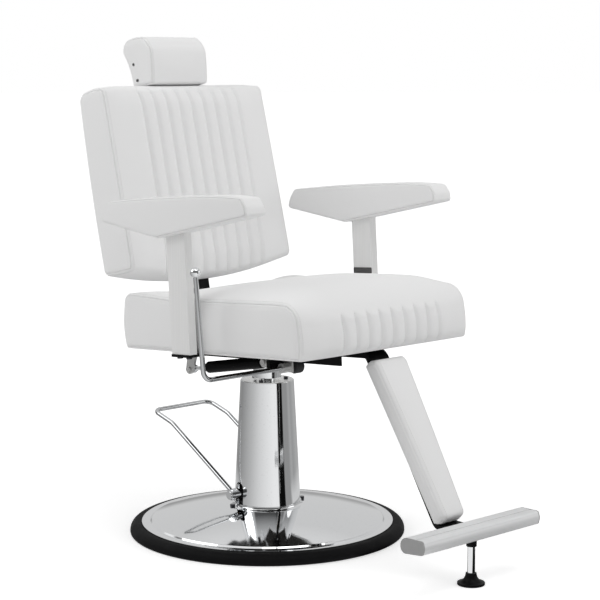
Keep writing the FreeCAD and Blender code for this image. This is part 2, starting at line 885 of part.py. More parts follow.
def channel_wedges(front, bulge, span, reach):
    """Long wedges for the sewn channels of a bulged front face.

    span holds the ends of the bulged face and reach the ends of the wedges.
    """
    chord = span[1] - span[0]
    radius = (chord ** 2 + 4.0 * bulge ** 2) / (8.0 * bulge)
    middle = (span[0] + span[1]) / 2.0
    crest = front - bulge
    ends = []
    for height in reach:
        ends.append(crest + radius - math.sqrt(radius ** 2 - (height - middle) ** 2))
    outside = crest - overrun
    start = -(channel_count - 1) / 2.0 * channel_pitch
    wedges = []
    for index in range(channel_count):
        wires = []
        for shift, depth in ((-1, 0), (0, channel_groove_depth), (1, 0)):
            x = start + index * channel_pitch + shift * channel_groove_width / 2.0
            foot = vec(x, ends[0] + depth, reach[0])
            head = vec(x, ends[1] + depth, reach[1])
            corners = [foot, vec(x, crest + depth, middle), head,
                       vec(x, outside, reach[1]), vec(x, outside, reach[0])]
            wires.append(Part.Wire([Part.Arc(*corners[:3]).toShape(),
                                    Part.LineSegment(corners[2], corners[3]).toShape(),
                                    Part.LineSegment(corners[3], corners[4]).toShape(),
                                    Part.LineSegment(corners[4], corners[0]).toShape()]))
        wedges.append(Part.makeLoft(wires, True, True))
    return wedges


def seat_cushion():
    """Boxed seat cushion: crowned top, rolled front edge, sewn front channels."""
    corners = [(seat_front, 0), (seat_rear, 0), (seat_rear, seat_side_height),
               (seat_front, seat_side_height)]
    radii = [seat_bottom_roll, seat_bottom_roll, seat_rear_roll, seat_front_roll]
    wires = []
    for x, inset, full in cushion_stations(seat_half_width, seat_side_bulge):
        swell = side_fullness_share + (1.0 - side_fullness_share) * full
        bulges = [0, seat_rear_bulge * swell, seat_crown * swell, seat_front_bulge * swell]
        wires.append(outline(inset_corners(corners, inset), radii, bulges, across(x)))
    body = Part.makeLoft(wires, True, True)
    span = (seat_bottom_roll, seat_side_height - seat_front_roll)
    reach = (-overrun, seat_side_height - seat_front_roll / 2.0)
    wedges = channel_wedges(seat_front, seat_front_bulge, span, reach)
    inset = board_inset - rest_gap
    half = seat_half_width - inset
    recess = box((-half, half), (seat_front + inset, seat_rear - inset),
                 (-overrun, board_thickness))
    return in_seat(body.cut(wedges + [recess]))


# Armrests


def arm_corners():
    """Side outline of an arm pad, in the seat's own frame."""
    return [arm_heel, arm_rear_low, arm_rear_high, arm_top_rear, arm_top_front, arm_front_low]


def arm_underside(lift, ends):
    """The bent strip along the pad's underside, up to a given height above it."""
    corners = arm_corners()
    heel, rear, front = corners[0], corners[1], corners[5]
    rear_way = unit(heel, rear)[0]
    front_way = unit(heel, front)[0]
    low = [(rear[0] - rear_way[0] * ends, rear[1] - rear_way[1] * ends), heel,
           (front[0] - front_way[0] * ends, front[1] - front_way[1] * ends)]
    high = [(y, z + lift) for y, z in low]
    return [low[2], low[1], low[0], high[0], high[1], high[2]]


def armrest_pad():
    """Upholstered arm pad, deepest over its post, with a recess for its board."""
    corners = arm_corners()
    radii = [0] + [arm_corner_radius] * 5
    bulges = [0, arm_puff, arm_puff, arm_puff, arm_puff, 0]
    wires = []
    for share, inset in arm_side_shares:
        x = arm_inner_x + arm_width * share
        wires.append(outline(inset_corners(corners, arm_corner_radius * inset), radii, bulges,
                             across(x)))
    body = Part.makeLoft(wires, True, True)
    recess = prism((arm_inner_x + arm_board_inset - rest_gap,
                    arm_inner_x + arm_width - arm_board_inset + rest_gap),
                   arm_underside(arm_board_thickness, arm_board_inset - rest_gap))
    below = prism((arm_inner_x + arm_board_inset - rest_gap,
                   arm_inner_x + arm_width - arm_board_inset + rest_gap),
                  arm_underside(-overrun, arm_board_inset - rest_gap)[::-1])
    return in_seat(body.cut([recess, below]))


def armrest_board():
    """Bent plywood board in the pad's underside."""
    return in_seat(prism((arm_inner_x + arm_board_inset, arm_inner_x + arm_width - arm_board_inset),
                         arm_underside(arm_board_thickness, arm_board_inset)))


def arm_post():
    """Flat steel tube from the bracket up to the arm pad, cut to its slope."""
    low = 0
    rise = unit(arm_heel, arm_front_low)[0]
    slope = rise[1] / rise[0]
    front = post_rear - post_depth
    top_rear = arm_heel[1] + (post_rear - arm_heel[0]) * slope
    top_front = arm_heel[1] + (front - arm_heel[0]) * slope
    rear_slope = (arm_rear_low[1] - arm_heel[1]) / (arm_rear_low[0] - arm_heel[0])
    top_edge = arm_heel[1] + (post_rear - arm_heel[0]) * rear_slope
    corners = [(front, low), (post_rear, low), (post_rear, max(top_edge, top_rear)), arm_heel,
               (front, top_front)]
    outer = prism((post_inner_x, post_inner_x + post_width), corners)
    hollow = box((post_inner_x + post_wall, post_inner_x + post_width - post_wall),
                 (front + post_wall, post_rear - post_wall),
                 (low + post_wall, arm_front_low[1]))
    return in_seat(outer.cut(hollow))


def arm_bracket():
    """Black steel strap from the channel's side out to the post."""
    front = post_rear - post_depth
    outer = post_inner_x + post_width + bracket_end_gap
    strap = box((channel_half_width, outer), (front, post_rear), (-bracket_thickness, 0))
    tab = box((channel_half_width, channel_half_width + bracket_thickness), (front, post_rear),
              (-bracket_tab_depth, 0))
    return in_seat(fuse(strap, tab))


def arm_bolts():
    """Bolt heads under the brackets, which hold the posts."""
    bolts = []
    x = post_inner_x + post_width / 2.0
    for y in (post_rear - arm_bolt_inset, post_rear - post_depth + arm_bolt_inset):
        at = vec(x, y, -bracket_thickness)
        bolts.append(rod(arm_bolt_head_radius, at.sub(vec(0, 0, arm_bolt_head_height)), at))
    return in_seat(group(bolts + [mirror(bolt) for bolt in bolts]))


# Recline lever


def lever_bearing():
    """Plate and boss on the channel's side that the recline lever turns in."""
    half = lever_plate_width / 2.0
    face = -channel_half_width
    plate = box((face - lever_plate_thickness, face), (lever_y - half, lever_y + half),
                (lever_z - lever_boss_radius, -bracket_thickness))
    boss = rod(lever_boss_radius, vec(face - lever_boss_length, lever_y, lever_z),
               vec(face, lever_y, lever_z))
    bore = rod(lever_rod_radius + run_gap,
               vec(face - lever_boss_length - overrun, lever_y, lever_z),
               vec(face + overrun, lever_y, lever_z))
    return in_seat(fuse(plate, boss).cut(bore))


def recline_lever():
    """Bent rod: its lower leg turns in the bearing, its upper end is the grip."""
    points = [vec(lever_inner_x, lever_y, lever_z), vec(lever_x, lever_y, lever_z),
              vec(lever_x, lever_ball_y, lever_ball_z)]
    return in_seat(bent_rod(points, [lever_bend_radius], lever_rod_radius))


def lever_ball():
    """Ball knob on the lever's upper end."""
    way = vec(0, lever_ball_y - lever_y, lever_ball_z - lever_z).normalize()
    end = vec(lever_x, lever_ball_y, lever_ball_z)
    seat_depth = lever_ball_radius / 3.0
    centre = end.add(way * (lever_ball_radius - seat_depth))
    ball = Part.makeSphere(lever_ball_radius, centre)
    return in_seat(ball.cut(rod(lever_rod_radius, end.sub(way * lever_ball_radius), end)))


def lever_end_knob():
    """Round rubber knob on the inner end of the lever's shaft."""
    end = lever_inner_x + lever_knob_length / 4.0
    knob = turned([(0, 0), (lever_knob_radius, 0), (lever_knob_radius, lever_knob_length),
                   (0, lever_knob_length)], [0, lever_knob_round, lever_knob_round, 0])
    knob.rotate(vec(0, 0, 0), vec(0, 1, 0), -90)
    knob.translate(vec(end, lever_y, lever_z))
    socket = rod(lever_rod_radius, vec(end - lever_knob_length - overrun, lever_y, lever_z),
                 vec(lever_inner_x, lever_y, lever_z))
    return in_seat(knob.cut(socket))


# Gas spring


def spring_line(distance, x=spring_x):
    """A point on the spring's axis at a distance from its front pin."""
    way = unit((spring_front_y, spring_front_z), (lug_y, lug_z))[0]
    return vec(x, spring_front_y + way[0] * distance, spring_front_z + way[1] * distance)


def spring_span():
    """Distance between the spring's two pins with the back upright."""
    return unit((spring_front_y, spring_front_z), (lug_y, lug_z))[1]


def gas_spring_cylinder():
    """Black tube with an eye at the front and a bored end wall for the rod."""
    start = spring_tube_start
    end = start + spring_tube_length
    way = spring_line(spring_tube_start).sub(spring_line(0))
    cut = spring_chamfer
    profile = turned([(0, start), (spring_tube_radius - cut, start),
                      (spring_tube_radius, start + cut), (spring_tube_radius, end - cut),
                      (spring_tube_radius - cut, end), (spring_neck_radius, end),
                      (spring_neck_radius, end + spring_neck_length),
                      (0, end + spring_neck_length)])
    hollow = rod(spring_tube_radius - spring_tube_wall, vec(0, 0, start + spring_end_wall),
                 vec(0, 0, end - spring_end_wall))
    bore = rod(spring_rod_radius + run_gap, vec(0, 0, start + spring_end_wall),
               vec(0, 0, end + spring_neck_length + overrun))
    tube = profile.cut([hollow, bore])
    tube.Placement = FreeCAD.Placement(spring_line(0), FreeCAD.Rotation(vec(0, 0, 1), way))
    half = spring_eye_width / 2.0
    eye = rod(spring_eye_radius, spring_line(0, spring_x - half), spring_line(0, spring_x + half))
    neck = rod(half, spring_line(0), spring_line(start + spring_chamfer))
    pin_hole = rod(pivot_pin_radius + run_gap, spring_line(0, spring_x - half - overrun),
                   spring_line(0, spring_x + half + overrun))
    return in_seat(fuse(tube, eye, neck).cut(pin_hole))


def gas_spring_rod():
    """Chrome rod with a piston inside the tube and an eye at the back's lug."""
    span = spring_span()
    end = spring_tube_start + spring_tube_length + spring_neck_length
    start = end - spring_rod_inside
    shaft = rod(spring_rod_radius, spring_line(start), spring_line(span))
    piston = rod(piston_radius, spring_line(start), spring_line(start + piston_length))
    half = spring_eye_width / 2.0
    eye = rod(spring_eye_radius, spring_line(span, spring_x - half),
              spring_line(span, spring_x + half))
    hole = rod(pivot_pin_radius + open_eye_gap, spring_line(span, spring_x - half - overrun),
               spring_line(span, spring_x + half + overrun))
    return in_seat(fuse(shaft, piston, eye).cut(hole))


def spring_block():
    """Black block on the channel's side that carries the spring's fork."""
    inner = -channel_half_width
    outer = spring_x - spring_eye_width / 2.0 - fork_gap - fork_cheek
    front = spring_front_y - fork_length / 2.0 - spring_block_length
    return in_seat(box((outer, inner), (front, front + spring_block_length),
                       (spring_front_z - spring_block_height / 2.0,
                        spring_front_z + spring_block_height / 2.0)))


def spring_front_fork():
    """Silver fork with its pin, which holds the spring's front eye."""
    inner_face = spring_eye_width / 2.0 + fork_gap
    half = fork_height / 2.0
    front = spring_front_y - fork_length / 2.0
    cheek_end = front + fork_length
    cheek = prism((inner_face, inner_face + fork_cheek),
                  [(front, spring_front_z - half), (cheek_end, spring_front_z - half),
                   (cheek_end, spring_front_z + half), (front, spring_front_z + half)],
                  [0, half - fork_gap, half - fork_gap, 0])
    left = cheek.copy()
    left.translate(vec(spring_x, 0, 0))
    right = mirror(cheek)
    right.translate(vec(spring_x, 0, 0))
    reach = inner_face + fork_cheek
    pin = rod(pivot_pin_radius, spring_line(0, spring_x - reach), spring_line(0, spring_x + reach))
    head = rod(pin_head_radius, spring_line(0, spring_x - reach - pin_head_height),
               spring_line(0, spring_x - reach))
    return in_seat(fuse(left, right, pin, head))


# Torque tube, back bar and lug


def hinge_bushes():
    """Bushes in the channel's sides that the torque tube turns in."""
    outer = channel_half_width + hinge_bush_overhang
    inner = channel_half_width - channel_wall - hinge_bush_overhang
    sleeve = rod(torque_radius + hinge_bush_wall - run_gap, vec(inner, hinge_y, hinge_z),
                 vec(outer, hinge_y, hinge_z))
    bore = rod(torque_radius + run_gap, vec(inner - overrun, hinge_y, hinge_z),
               vec(outer + overrun, hinge_y, hinge_z))
    return in_seat(both_sides(sleeve.cut(bore)))


def torque_tube():
    """Round bar under the seat's rear that the whole back turns on."""
    return in_seat(rod(torque_radius, vec(torque_left, hinge_y, hinge_z),
                       vec(torque_right, hinge_y, hinge_z)))


def back_bar():
    """Flat bar from the torque tube, behind the seat and up into the back."""
    middle = back_board_front - back_bar_thickness / 2.0
    top = back_point(middle, back_height - back_bar_stop)
    foot = back_point(middle, 0)
    lean = math.tan(math.radians(back_lean))
    rise_y = foot[0] - (foot[1] - back_bar_rise) * lean
    points = [vec(0, hinge_y, hinge_z), vec(0, rise_y, hinge_z), vec(0, rise_y, back_bar_rise),
              vec(0, top[0], top[1])]
    strap = bent_strap(points, [back_bar_bend_radius, back_bar_lean_radius], back_bar_width,
                       back_bar_thickness)
    half = back_bar_width / 2.0
    hub = rod(back_bar_hub_radius, vec(-half, hinge_y, hinge_z), vec(half, hinge_y, hinge_z))
    hole = rod(torque_radius, vec(-half - overrun, hinge_y, hinge_z),
               vec(half + overrun, hinge_y, hinge_z))
    return in_seat(fuse(strap, hub).cut(hole))


def spring_lug():
    """Silver lug on the torque tube's end that pushes the gas spring."""
    inner = lug_outer_x + lug_thickness
    way, length = unit((hinge_y, hinge_z), (lug_y, lug_z))
    lean = math.asin((lug_top_radius - lug_radius) / length)
    turn = math.atan2(way[1], way[0])
    sides = []
    for sign in (1.0, -1.0):
        angle = turn + sign * (math.pi / 2.0 - lean)
        sides.append((math.cos(angle), math.sin(angle)))
    web = prism((lug_outer_x, inner),
                [(hinge_y + lug_top_radius * sides[0][0], hinge_z + lug_top_radius * sides[0][1]),
                 (hinge_y + lug_top_radius * sides[1][0], hinge_z + lug_top_radius * sides[1][1]),
                 (lug_y + lug_radius * sides[1][0], lug_z + lug_radius * sides[1][1]),
                 (lug_y + lug_radius * sides[0][0], lug_z + lug_radius * sides[0][1])])
    top = rod(lug_top_radius, vec(lug_outer_x, hinge_y, hinge_z), vec(inner, hinge_y, hinge_z))
    low = rod(lug_radius, vec(lug_outer_x, lug_y, lug_z), vec(inner, lug_y, lug_z))
    hole = rod(torque_radius, vec(lug_outer_x - overrun, hinge_y, hinge_z),
               vec(inner + overrun, hinge_y, hinge_z))
    bolt_hole = rod(pivot_pin_radius, vec(lug_outer_x - overrun, lug_y, lug_z),
                    vec(inner + overrun, lug_y, lug_z))
    return in_seat(fuse(web, top, low).cut([hole, bolt_hole]))


def lug_bolt():
    """Bolt through the lug that the rod's eye hangs on."""
    inner = spring_x + spring_eye_width / 2.0 + fork_gap
    at = vec(lug_outer_x, lug_y, lug_z)
    bolt = screw(at, vec(1, 0, 0), pin_head_radius, pin_head_height, pivot_pin_radius,
                 inner - lug_outer_x)
    nut = rod(pin_head_radius, vec(inner, lug_y, lug_z), vec(inner + pin_head_height, lug_y, lug_z))
    return in_seat(bolt.fuse(nut).removeSplitter())


# Leg rest


def legrest_centre_line():
    """Corners of the arm's centre line as (y, z) in the chair."""
    half = legrest_thickness / 2.0
    way = unit(calf_top, calf_bottom)[0]
    behind = (-way[1], way[0])
    face = (calf_top[0] + behind[0] * half, calf_top[1] + behind[1] * half)
    root = seat_point(legrest_root, -channel_wall - half)
    front = seat_point(channel_front, -channel_wall - half)
    ahead = unit(root, front)[0]
    cross = ahead[0] * way[1] - ahead[1] * way[0]
    along = ((face[0] - root[0]) * way[1] - (face[1] - root[1]) * way[0]) / cross
    corner = (root[0] + ahead[0] * along, root[1] + ahead[1] * along)
    level = (bar_top + bar_rear_bottom) / 2.0
    share = (level - face[1]) / way[1]
    foot = (face[0] + way[0] * share, level)
    return [root, corner, foot, (bar_rear - bar_wall * 2.0, level)]


def legrest_arm():
    """Thick black strap from under the seat down to the foot bar."""
    points = [vec(0, y, z) for y, z in legrest_centre_line()]
    strap = bent_strap(points, [legrest_upper_radius, legrest_lower_radius], legrest_width,
                       legrest_thickness)
    holes = in_seat(legrest_bolt_holes())
    return strap.cut([holes, bar_block()])


def legrest_bolts():
    """Bolts that hold the leg rest's arm up against the channel."""
    bolts = []
    low = -channel_wall - legrest_thickness
    for y in legrest_bolt_rows:
        for x in (-legrest_bolt_x, legrest_bolt_x):
            bolts.append(screw(vec(x, y, low), vec(0, 0, 1), legrest_bolt_head_radius,
                               legrest_bolt_head_height, legrest_bolt_radius,
                               legrest_thickness + channel_wall - rest_gap))
    return in_seat(group(bolts))


def on_calf(shape):
    """Moves a shape from the calf pad's frame: x, y out of its face, z down its length."""
    way = unit(calf_top, calf_bottom)[0]
    down = vec(0, way[0], way[1])
    out = vec(0, way[1], -way[0])
    side = out.cross(down)
    frame = FreeCAD.Matrix(side.x, out.x, down.x, 0, side.y, out.y, down.y, calf_top[0],
                           side.z, out.z, down.z, calf_top[1], 0, 0, 0, 1)
    shape.Placement = FreeCAD.Placement(frame)
    return shape


def calf_width(share):
    """Width of the tapered calf pad at a share of its length."""
    return calf_top_width + (calf_bottom_width - calf_top_width) * share


def calf_wire(distance, inset):
    """Outline of the calf pad across its length."""
    length = unit(calf_top, calf_bottom)[1]
    half = calf_width(distance / length) / 2.0 - inset
    high = calf_thickness - inset
    radius = min(calf_edge_radius, high / 2.0)
    corners = [(-half, 0), (half, 0), (half, high), (-half, high)]
    return outline(corners, [0, 0, radius, radius], [0, calf_side_puff, calf_crown, calf_side_puff],
                   lambda x, y: vec(x, y, distance))


def calf_pad():
    """Tapered calf pad on the arm's front, with a recess for its board."""
    length = unit(calf_top, calf_bottom)[1]
    wires = []
    for along, full in end_shares(3):
        wires.append(calf_wire(calf_end_round * (1.0 - full), calf_end_round * (1.0 - along)))
    for along, full in end_shares(3)[::-1]:
        wires.append(calf_wire(length - calf_end_round * (1.0 - full),
                               calf_end_round * (1.0 - along)))
    pad = Part.makeLoft(wires, True, True)
    return on_calf(pad.cut(calf_board_block(rest_gap)))


def calf_board_block(gap):
    """Tapered board shape, grown by a gap on its edges."""
    length = unit(calf_top, calf_bottom)[1]
    ends = []
    for distance in (calf_end_round + calf_board_inset - gap,
                     length - calf_end_round - calf_board_inset + gap):
        half = calf_width(distance / length) / 2.0 - calf_board_inset + gap
        wire = Part.makePolygon([vec(-half, 0, distance), vec(half, 0, distance),
                                 vec(half, calf_board_thickness, distance),
                                 vec(-half, calf_board_thickness, distance),
                                 vec(-half, 0, distance)])
        ends.append(wire)
    return Part.makeLoft(ends, True, True)


def calf_pad_board():
    """Board inside the calf pad, against the arm."""
    return on_calf(calf_board_block(0))


# Foot bar


def bar_corners():
    """Side outline of the foot bar, round at the rear."""
    return [(bar_front, bar_front_bottom), (bar_rear, bar_rear_bottom), (bar_rear, bar_top),
            (bar_front, bar_top)]


def bar_radii():
    """Corner radii of the foot bar's outline."""
    rear = (bar_top - bar_rear_bottom) / 2.0 - bar_wall
    return [bar_edge_radius, rear, rear + bar_wall, bar_edge_radius]


def bar_bulges():
    """Bulges of the foot bar's outline: only its front face is curved."""
    return [0, 0, 0, bar_front_bulge]


def bar_block():
    """Foot bar's outside as a full block."""
    return prism((-bar_half_length, bar_half_length), bar_corners(), bar_radii(), bar_bulges())


def footrest_bar():
    """Hollow aluminium bar with a grip groove along its top."""
    reach = bar_half_length + overrun
    radii = [max(radius - bar_wall, bar_wall / 2.0) for radius in bar_radii()]
    hollow = prism((-reach, reach), inset_corners(bar_corners(), bar_wall), radii)
    cuts = [hollow, support_bore(rest_gap)]
    y = bar_front + bar_groove_start
    cuts.append(box((-reach, reach), (y, y + bar_groove_width),
                    (bar_top - bar_groove_depth, bar_top + overrun)))
    return bar_block().cut(cuts)


def footrest_end_caps():
    """Grey plates on the bar's two ends."""
    plate = prism((bar_half_length, bar_half_length + bar_cap_thickness), bar_corners(),
                  bar_radii(), bar_bulges())
    return both_sides(plate)


def support_bore(gap):
    """Cutter for the support's rod through the bar's underside."""
    middle = (bar_top + bar_rear_bottom) / 2.0
    return rod(support_rod_radius + gap, vec(0, support_y, 0), vec(0, support_y, middle))


def support_collar():
    """Black collar under the bar that guides the support's rod."""
    collar = rod(support_collar_radius, vec(0, support_y, bar_rear_bottom - support_collar_drop),
                 vec(0, support_y, bar_top))
    return collar.cut([bar_block(), support_bore(run_gap)])


def support_rod():
    """Chrome rod that slides up into the foot bar."""
    return rod(support_rod_radius, vec(0, support_y, support_rod_foot),
               vec(0, support_y, support_rod_top))


def support_foot():
    """Round black foot, flared like a bell, under the support's rod."""
    corners = [(0, 0), (support_foot_radius, 0), (support_foot_radius, support_foot_edge),
               (support_neck_radius, support_foot_height), (0, support_foot_height)]
    bell = turned(corners, [0, support_foot_edge / 3.0, support_foot_edge / 3.0, 0, 0],
                  [0, 0, -support_foot_edge, 0, 0])
    bell.translate(vec(0, support_y, 0))
    socket = rod(support_rod_radius + run_gap, vec(0, support_y, support_rod_foot),
                 vec(0, support_y, support_foot_height + overrun))
    return bell.cut(socket)


# Back


def back_wire(x, inset, full):
    """Side outline of the back cushion at a station across it."""
    low = back_side_rise * (x / back_half_width) ** 2
    swell = side_fullness_share + (1.0 - side_fullness_share) * full
    corners = [(0, low + inset), (back_thickness, low + inset),
               (back_thickness, back_height - inset), (0, back_height - inset)]
    shift = min(inset, back_edge_radius) / 2.0
    corners = [(v + shift if v == 0 else v - shift, u) for v, u in corners]
    bulges = [back_end_bulge * swell, back_rear_bulge * swell, back_end_bulge * swell,
              back_front_bulge * swell]
    return outline(corners, [back_edge_radius] * 4, bulges, across(x))


def back_stations():
    """Stations across the back: rounded corners and a soft bulge at each side."""
    side = []
    for along, full in end_shares(3):
        side.append((flat_panel_half + (back_corner_start() - flat_panel_half) * along, 0, full))
    for along, full in end_shares(3)[1:]:
        x = back_corner_start() + back_corner_round * along
        side.append((x, back_corner_round * (1.0 - full), 0))
    left = [(-x, inset, full) for x, inset, full in side[::-1]]
    return left + side


def back_corner_start():
    """Where the back's rounded corners begin."""
    return back_half_width + back_side_bulge - back_corner_round


def back_cushion():
    """Back cushion with sewn channels, hollowed behind for board, bar and socket."""
    wires = [back_wire(x, inset, full) for x, inset, full in back_stations()]
    body = Part.makeLoft(wires, True, True)
    span = (back_edge_radius, back_height - back_edge_radius)
    wedges = channel_wedges(0, back_front_bulge, span, (-overrun, back_height + overrun))
    inset = back_board_inset - rest_gap
    half = back_half_width - inset
    recess = box((-half, half), (back_board_front, back_thickness + overrun),
                 (back_side_rise + inset, back_height - inset))
    bar_front_v = back_board_front - back_bar_thickness - rest_gap
    bar_half = back_bar_width / 2.0 + rest_gap
    bar_pocket = box((-bar_half, bar_half), (bar_front_v, back_board_front),
                     (-back_side_rise, back_height - back_bar_stop + rest_gap))
    neck = box((-bar_half, bar_half), (bar_front_v, back_board_front + rest_gap),
               (-back_side_rise, back_side_rise + inset))
    socket_half = post_flat_width / 2.0 + socket_wall + socket_gap + rest_gap
    socket_front = post_flat_front - socket_wall - socket_gap - rest_gap
    socket_pocket = box((-socket_half, socket_half), (socket_front, back_board_front),
                        (back_height - socket_length - rest_gap,
                         back_height + back_end_bulge + overrun))
    return in_back(body.cut(wedges + [recess, bar_pocket, neck, socket_pocket]))


def back_board():
    """Plywood board that the bar, the socket and the upholstery are fixed to."""
    half = back_half_width - back_board_inset
    return in_back(box((-half, half), (back_board_front, back_board_front + board_thickness),
                       (back_side_rise + back_board_inset, back_height - back_board_inset)))


def rear_panel_wire(x, along, full):
    """Outline of the rear panel at a station across it."""
    front = back_board_front + board_thickness
    rear = back_thickness + rear_panel_proud - rear_panel_round * (1.0 - full)
    low = back_side_rise + back_board_inset
    high = back_height - back_board_inset
    round_edge = rear_panel_round / 2.0
    return outline([(front, low), (rear, low), (rear, high), (front, high)],
                   [0, round_edge, round_edge, 0], [0, back_end_bulge, 0, 0], across(x))


def back_rear_panel():
    """Upholstered panel that closes the back behind."""
    half = back_half_width - back_board_inset
    right = []
    for along, full in end_shares(3):
        x = half - rear_panel_round * (1.0 - along)
        right.append((x, along, full))
    left = [(-x, along, full) for x, along, full in right[::-1]]
    wires = [rear_panel_wire(*station) for station in left + right]
    return in_back(Part.makeLoft(wires, True, True))


def headrest_socket():
    """Steel socket on the board that the headrest's post slides in."""
    outer_half = post_flat_width / 2.0 + socket_wall + socket_gap
    front = post_flat_front - socket_wall - socket_gap
    low = back_height - socket_length
    outer = box((-outer_half, outer_half), (front, back_board_front), (low, back_height))
    inner_half = post_flat_width / 2.0 + socket_gap
    inner = box((-inner_half, inner_half),
                (post_flat_front - socket_gap, post_flat_front + post_flat_thickness + socket_gap),
                (low - overrun, back_height + overrun))
    return in_back(outer.cut(inner))


# Headrest


def headrest_post():
    """Flat steel post of the headrest."""
    half = post_flat_width / 2.0
    return in_back(box((-half, half), (post_flat_front, post_flat_front + post_flat_thickness),
                       (back_height - post_flat_drop, back_height + post_flat_rise)))


def head_corners():
    """Side outline of the headrest."""
    corners = [head_front_low, head_rear_low, head_rear_tip, head_top_rear, head_top_front,
               head_front_high]
    return [(v, back_height + u) for v, u in corners]


def headrest_board():
    """Board inside the headrest, bolted to the post."""
    half = head_half_width - head_board_inset
    front = post_flat_front + post_flat_thickness
    return in_back(box((-half, half), (front, front + head_board_thickness),
                       (back_height + head_rear_low[1] + head_board_inset,
                        back_height + post_flat_rise)))


def headrest_pad():
    """Headrest pillow with soft ends, hollowed for its board and post."""
    wires = []
    radii = list(head_corner_radii)
    for share, inset in head_side_shares:
        x = -head_half_width + head_half_width * 2.0 * share
        corners = inset_corners(head_corners(), head_side_puff * inset)
        wires.append(outline(corners, radii, [head_puff] * 6, across(x)))
    body = Part.makeLoft(wires, True, True)
    half = head_half_width - head_board_inset + rest_gap
    front = post_flat_front + post_flat_thickness
    board_pocket = box((-half, half), (front, front + head_board_thickness + rest_gap),
                       (back_height + head_rear_low[1] + head_board_inset - rest_gap,
                        back_height + post_flat_rise + rest_gap))
    post_half = post_flat_width / 2.0 + rest_gap
    post_pocket = box((-post_half, post_half), (post_flat_front - rest_gap, front + rest_gap),
                      (back_height, back_height + post_flat_rise + rest_gap))
    return in_back(body.cut([board_pocket, post_pocket]))


def build():
    """Every piece of the chair by its name."""
    pieces = {
        "floor_ring": floor_ring(),
        "base_dish": base_dish(),
        "base_plate": base_plate(),
        "base_bolts": base_bolts(),
        "pump_body": pump_body(),
        "ram_guide_bush": ram_guide_bush(),
        "ram_seal": ram_seal(),
        "column_cover": column_cover(),
        "cover_foot_ring": cover_foot_ring(),
        "column_cap": column_cap(),
        "cap_screws": cap_screws(),
        "shaft_bushes": shaft_bushes(),
        "rocker_shaft": rocker_shaft(),
        "pedal_loop": pedal_loop(),
        "pedal_nuts": pedal_nuts(),
        "pump_plunger": pump_plunger(),
        "ram": ram(),
        "thrust_washer": thrust_washer(),
        "swivel_hub": swivel_hub(),
        "under_frame": under_frame(),
        "seat_board": seat_board(),
        "seat_cushion": seat_cushion(),
        "arm_bolts": arm_bolts(),
        "lever_bearing": lever_bearing(),
        "spring_block": spring_block(),
        "spring_front_fork": spring_front_fork(),
        "hinge_bushes": hinge_bushes(),
        "legrest_arm": legrest_arm(),
        "legrest_bolts": legrest_bolts(),
        "calf_pad_board": calf_pad_board(),
        "calf_pad": calf_pad(),
        "footrest_bar": footrest_bar(),
        "footrest_end_caps": footrest_end_caps(),
        "support_collar": support_collar(),
        "support_rod": support_rod(),
        "support_foot": support_foot(),
        "torque_tube": torque_tube(),
        "back_bar": back_bar(),
        "spring_lug": spring_lug(),
        "lug_bolt": lug_bolt(),
        "back_board": back_board(),
        "back_cushion": back_cushion(),
        "back_rear_panel": back_rear_panel(),
        "headrest_socket": headrest_socket(),
        "headrest_post": headrest_post(),
        "headrest_board": headrest_board(),
        "headrest_pad": headrest_pad(),
        "gas_spring_cylinder": gas_spring_cylinder(),
        "gas_spring_rod": gas_spring_rod(),
        "recline_lever": recline_lever(),
        "lever_ball": lever_ball(),
        "lever_end_knob": lever_end_knob(),
    }
    arms = {"arm_bracket": arm_bracket(), "arm_post": arm_post(),
            "armrest_board": armrest_board(), "armrest_pad": armrest_pad()}
    for name, shape in arms.items():
        pieces[name + "_left"] = shape
        pieces[name + "_right"] = mirror(shape)
    return pieces


def save(pieces):
    """Writes each piece to its own file."""
    os.makedirs("parts", exist_ok=True)
    for name, shape in pieces.items():
        if not shape.isValid():
            print(name, "is not a valid shape")
        shape.exportStep("parts/" + name + ".step")


save(build())
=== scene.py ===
import math

import bmesh
import bpy
import numpy as np
from mathutils import Matrix, Vector
from mathutils.bvhtree import BVHTree
from mathutils.kdtree import KDTree


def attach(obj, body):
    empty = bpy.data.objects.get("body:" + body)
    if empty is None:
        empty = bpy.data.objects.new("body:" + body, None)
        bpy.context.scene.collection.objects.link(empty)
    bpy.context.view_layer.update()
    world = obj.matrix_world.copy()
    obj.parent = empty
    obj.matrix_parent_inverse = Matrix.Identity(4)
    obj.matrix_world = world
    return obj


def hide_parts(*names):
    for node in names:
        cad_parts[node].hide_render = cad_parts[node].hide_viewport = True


bl_info = {
    "name": "Threading Chair",
    "version": (1, 0, 0),
    "blender": (4, 5, 0),
    "location": "3D View > Sidebar > Chair",
    "description": "Upholstery, stitching and finishes of a reclining salon chair",
    "category": "Object",
}

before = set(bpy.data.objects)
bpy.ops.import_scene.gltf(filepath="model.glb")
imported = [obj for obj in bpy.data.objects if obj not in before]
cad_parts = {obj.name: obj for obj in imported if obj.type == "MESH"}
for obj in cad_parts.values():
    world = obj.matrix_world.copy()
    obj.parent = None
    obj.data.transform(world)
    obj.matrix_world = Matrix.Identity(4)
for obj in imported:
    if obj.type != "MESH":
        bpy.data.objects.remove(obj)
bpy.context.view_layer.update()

# The own frames of the seat, the back and the calf pad, in metres and radians
SEAT_TILT = math.radians(3.8)
SEAT_HEIGHT = 0.446
BACK_LEAN = math.radians(8.6)
BACK_FOOT = (0.178, 0.142)
CALF_TOP = (-0.360, 0.436)
CALF_BOTTOM = (-0.545, 0.128)

